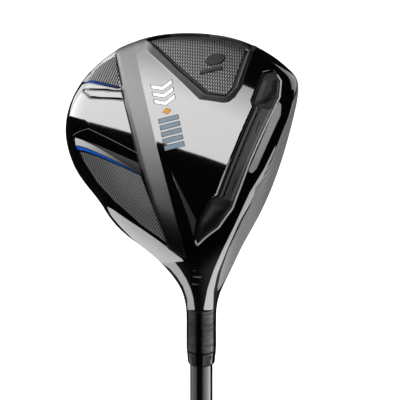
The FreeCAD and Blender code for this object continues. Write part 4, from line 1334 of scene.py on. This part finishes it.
RIBBED, BADGE, INSERT, FACE = ribbed_finish(), badge_finish(), insert_finish(), face_finish()
CARBON, GRAPHITE = carbon_finish(), wound_finish()
FERRULE = plain_finish("polished_black_plastic", grey(0.0008), grey(0.002), (0.04, 0.08), 2500.0, 0.04)
RUBBER = plain_finish("grip_rubber_black", grey(0.010), grey(0.026), (0.55, 0.78), 2600.0, 0.45)
ADHESIVE = plain_finish("cured_adhesive", (0.05, 0.045, 0.03), (0.16, 0.15, 0.10), (0.3, 0.5), 900.0, 0.3)
CAD_FINISH = {
    "crown_bond": ADHESIVE,
    "slot_bond": ADHESIVE,
    "shaft_bond": ADHESIVE,
    "badge_tape": plain_finish("foam_tape", (0.55, 0.55, 0.53), (0.80, 0.80, 0.78), (0.7, 0.9), 2200.0, 0.5),
    "grip_tape": plain_finish("woven_tape", (0.45, 0.43, 0.38), (0.70, 0.68, 0.62), (0.7, 0.9), 1500.0, 0.5),
    "glue_drop": plain_finish("hot_melt", (0.55, 0.50, 0.36), (0.78, 0.74, 0.60), (0.25, 0.4), 300.0, 0.3),
    "hosel_plug": plain_finish("moulded_plug", grey(0.05), grey(0.10), (0.4, 0.6), 1800.0, 0.3),
    "tip_weight": plain_finish("turned_brass", (0.62, 0.42, 0.14), (0.80, 0.58, 0.24), (0.2, 0.35), 1800.0,
                               Metallic=1.0),
}
print(len(bpy.data.materials), "materials")

# %% [markdown]
# ## Everything rides on the one rigid body
#
# A club has no mechanism, so each piece rides on the root body and takes its finish. The finer skins stand for
# the model's plain nodes, and the small hidden parts are the model's own meshes.

# %% Give finishes and bodies
SHOWN = (
    (sole_skin, BODY_FINISH, "steel", ("head_body",)),
    (upper_skin, BODY_FINISH, "steel", ()),
    (hosel_skin, BODY_FINISH, "steel", ()),
    (toe_ribs, RIBBED, "steel", ()),
    (heel_ribs, RIBBED, "steel", ()),
    (face_skin, FACE, "face_steel", ("face_plate",)),
    (crown_skin, CARBON, "carbon", ("crown_panel",)),
    (slot_insert, INSERT, "insert_rubber", ("slot_insert",)),
    (toe_badge, BADGE, "badge_metal", ("toe_badge",)),
    (ferrule, FERRULE, "ferrule_plastic", ("ferrule",)),
    (shaft_skin, GRAPHITE, "shaft_graphite", ("shaft",)),
    (grip_skin, RUBBER, "grip_rubber", ("grip",)),
    (cap_skin, RUBBER, "grip_rubber", ("grip_cap",)),
)
for piece, finish, slot_name, nodes in SHOWN:
    piece.data.materials.clear()
    piece.data.materials.append(finish)
    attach(piece, "root")
    if nodes:
        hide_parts(*nodes)
for node, finish in CAD_FINISH.items():
    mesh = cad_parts[node].data
    if not mesh.materials:
        mesh.materials.append(finish)
    for index in range(len(mesh.materials)):
        mesh.materials[index] = finish
print(len(SHOWN), "new pieces,", len(CAD_FINISH), "nodes carried over")

# %% [markdown]
# ## Floor, light and camera
#
# Gloss black shows only what it reflects, so the lighting is built of soft cards, as in a product studio. Lamps
# would show as small hot spots. The card above the head gives the long pale reflection on the sole. Its outline
# is that reflection's edge, followed back by the law of reflection to the card's height and worked out
# beforehand. Four curved cards stand round the shaft, for the shaft, the hosel, the ferrule and the head's
# edges, and a flat one stands behind the head.

# %% Soft cards
HEAD_MIDDLE = np.array([-0.015, 0.035, 1.068])


SQUARE = ((-1, -1), (1, -1), (1, 1), (-1, 1))


def emission(name, strength):
    """A plain luminous material."""
    made = bpy.data.materials.new(name)
    made.use_nodes = True
    tree = made.node_tree
    tree.nodes.remove(tree.nodes["Principled BSDF"])
    glow = add(tree, "ShaderNodeEmission", inputs={"Strength": strength})
    link(tree, glow.outputs[0], tree.nodes["Material Output"].inputs["Surface"])
    return made


def light_up(piece, strength):
    """Make a piece a soft card, seen in reflections but not by the camera; its material's nodes come out."""
    piece.data.materials.append(emission(piece.name, strength))
    piece.visible_camera = False
    piece.visible_shadow = False
    return piece.data.materials[0].node_tree


def flat_piece(name, corners):
    """An object with one flat face through the given corners."""
    mesh = bpy.data.meshes.new(name)
    mesh.from_pydata([tuple(c) for c in corners], [], [tuple(range(len(corners)))])
    made = bpy.data.objects.new(name, mesh)
    bpy.context.scene.collection.objects.link(made)
    return made


def card_facing(name, direction, distance, width, height, strength):
    """A rectangle square to a direction from the head's middle."""
    direction = np.array(direction) / np.linalg.norm(direction)
    across = np.cross([0, 0, 1.0], direction)
    across /= np.linalg.norm(across)
    up = np.cross(direction, across)
    middle = HEAD_MIDDLE + direction * distance
    corners = [middle + across * width * a / 2 + up * height * b / 2 for a, b in SQUARE]
    light_up(flat_piece(name, corners), strength)


ABOVE = 1.968
SHAPE_ABOVE = ((-30.0, 19.0), (-10.6, 6.17), (-3.2, 1.30), (-2.02, 0.61), (-1.50, 0.352), (-1.08, 0.188),
               (-0.84, 0.125), (-0.63, 0.100), (-0.565, 0.092), (-0.51, 0.059), (-0.34, -0.032),
               (-0.24, -0.075), (-0.114, -0.119), (-0.05, -0.135), (-0.055, 0.12), (-0.085, 0.19),
               (-0.115, 0.219), (-0.154, 0.24), (-0.30, 0.46), (-0.8, 1.15), (-1.15, 1.5), (-1.5, 1.7),
               (-2.2, 2.2), (-3.5, 3.2), (-30.0, 28.0))
tree = light_up(flat_piece("card_above", [(x, y, ABOVE) for x, y in SHAPE_ABOVE]), 5.0)
place = tree.nodes.new("ShaderNodeTexCoord").outputs["Object"]
split = add(tree, "ShaderNodeSeparateXYZ", inputs={"Vector": place})
fall = plus(tree, split.outputs["Y"], times(tree, split.outputs["X"], 0.55))
glow = add(tree, "ShaderNodeMapRange", inputs={"Value": fall, "From Max": 0.15, "To Min": 5.0, "To Max": 2.6})
link(tree, glow.outputs["Result"], tree.nodes["Emission"].inputs["Strength"])


def card_ring(name, turns, levels, glow, distance=0.25, parts=16):
    """A curved card round the shaft: turns in degrees to the right of the stencil, glow at its two ends."""
    turned = np.radians(np.linspace(*turns, parts + 1))[:, None] + np.zeros(2)
    ahead, across = np.cos(turned) * distance, np.sin(turned) * distance
    x = math.cos(TURN) * across + math.sin(TURN) * ahead
    y = math.sin(TURN) * across - math.cos(TURN) * ahead
    z = 0 * x + np.array(levels) * MM
    strength = np.linspace(*glow, parts + 1)[:, None].repeat(2, 1)
    points = np.stack([x, y, z], -1).reshape(-1, 3)
    tree = light_up(make_mesh(name, points, [grid_faces(parts + 1, 2)], {"glow": strength}), 1.0)
    link(tree, stored(tree, "glow"), tree.nodes["Emission"].inputs["Strength"])


HIGH, LOW = (890.0, 950.0), (720.0, 888.0)
card_ring("card_right_high", (10.0, 105.0), HIGH, (0.3, 5.0))
card_ring("card_left_high", (-125.0, -50.0), HIGH, (1.0, 0.8))
card_ring("card_right_low", (12.0, 110.0), LOW, (1.5, 0.45))
card_ring("card_left_low", (-125.0, -50.0), LOW, (0.45, 0.45))
card_facing("card_back", (0.34, 0.86, 0.38), 1.0, 0.55, 0.7, 0.9)

# %% The room round the cards
WHITE = (1.0, 1.0, 1.0, 1.0)
SEEN, LIT, REFLECTED = 1.05, 0.35, 0.008
world = bpy.data.worlds.new("studio")
bpy.context.scene.world = world
world.use_nodes = True
tree = world.node_tree
background = tree.nodes["Background"]
path = add(tree, "ShaderNodeLightPath")
dim = add(tree, "ShaderNodeBackground", inputs={"Color": WHITE, "Strength": REFLECTED})
soft = add(tree, "ShaderNodeBackground", inputs={"Color": WHITE, "Strength": LIT})
background.inputs["Color"].default_value = WHITE
background.inputs["Strength"].default_value = SEEN
first = add(tree, "ShaderNodeMixShader")
second = add(tree, "ShaderNodeMixShader")
link(tree, path.outputs["Is Diffuse Ray"], first.inputs[0])
link(tree, dim.outputs[0], first.inputs[1])
link(tree, soft.outputs[0], first.inputs[2])
link(tree, path.outputs["Is Camera Ray"], second.inputs[0])
link(tree, first.outputs[0], second.inputs[1])
link(tree, background.outputs[0], second.inputs[2])
link(tree, second.outputs[0], tree.nodes["World Output"].inputs["Surface"])

# %% The floor
FLOOR_HALF, FLOOR_Z = 40.0, -0.0005
floor = flat_piece("floor", [(a * FLOOR_HALF, b * FLOOR_HALF, FLOOR_Z) for a, b in SQUARE])
floor_finish, tree, shader = material("matt_paper", Roughness=0.9)
value, height = grain(tree, 40.0)
link(tree, blend_colour(tree, value, grey(0.90), grey(0.94)), shader.inputs["Base Color"])
shader.inputs["Emission Color"].default_value = WHITE
shader.inputs["Emission Strength"].default_value = 0.75
floor.data.materials.append(floor_finish)
floor.visible_glossy = False

# %% Camera
STAND_OFF, SHAFT_HEIGHT, SIDE_SHIFT = 1.5, 1.0968, 0.00052
AIM = np.array([0.0, 0.0, SHAFT_HEIGHT]) - STENCIL_RIGHT * SIDE_SHIFT
camera_data = bpy.data.cameras.new("camera")
camera = bpy.data.objects.new("camera", camera_data)
bpy.context.scene.collection.objects.link(camera)
camera_data.sensor_width = 36.0
camera_data.lens = 361.8
camera_data.clip_start, camera_data.clip_end = 0.05, 100.0
camera.location = AIM + STENCIL_OUT * STAND_OFF
camera.rotation_euler = (-Vector(STENCIL_OUT)).to_track_quat("-Z", "Y").to_euler()
bpy.context.scene.camera = camera
bpy.context.scene.view_settings.view_transform = "Standard"
print("camera at", [round(v, 3) for v in camera.location], "lens", camera_data.lens)
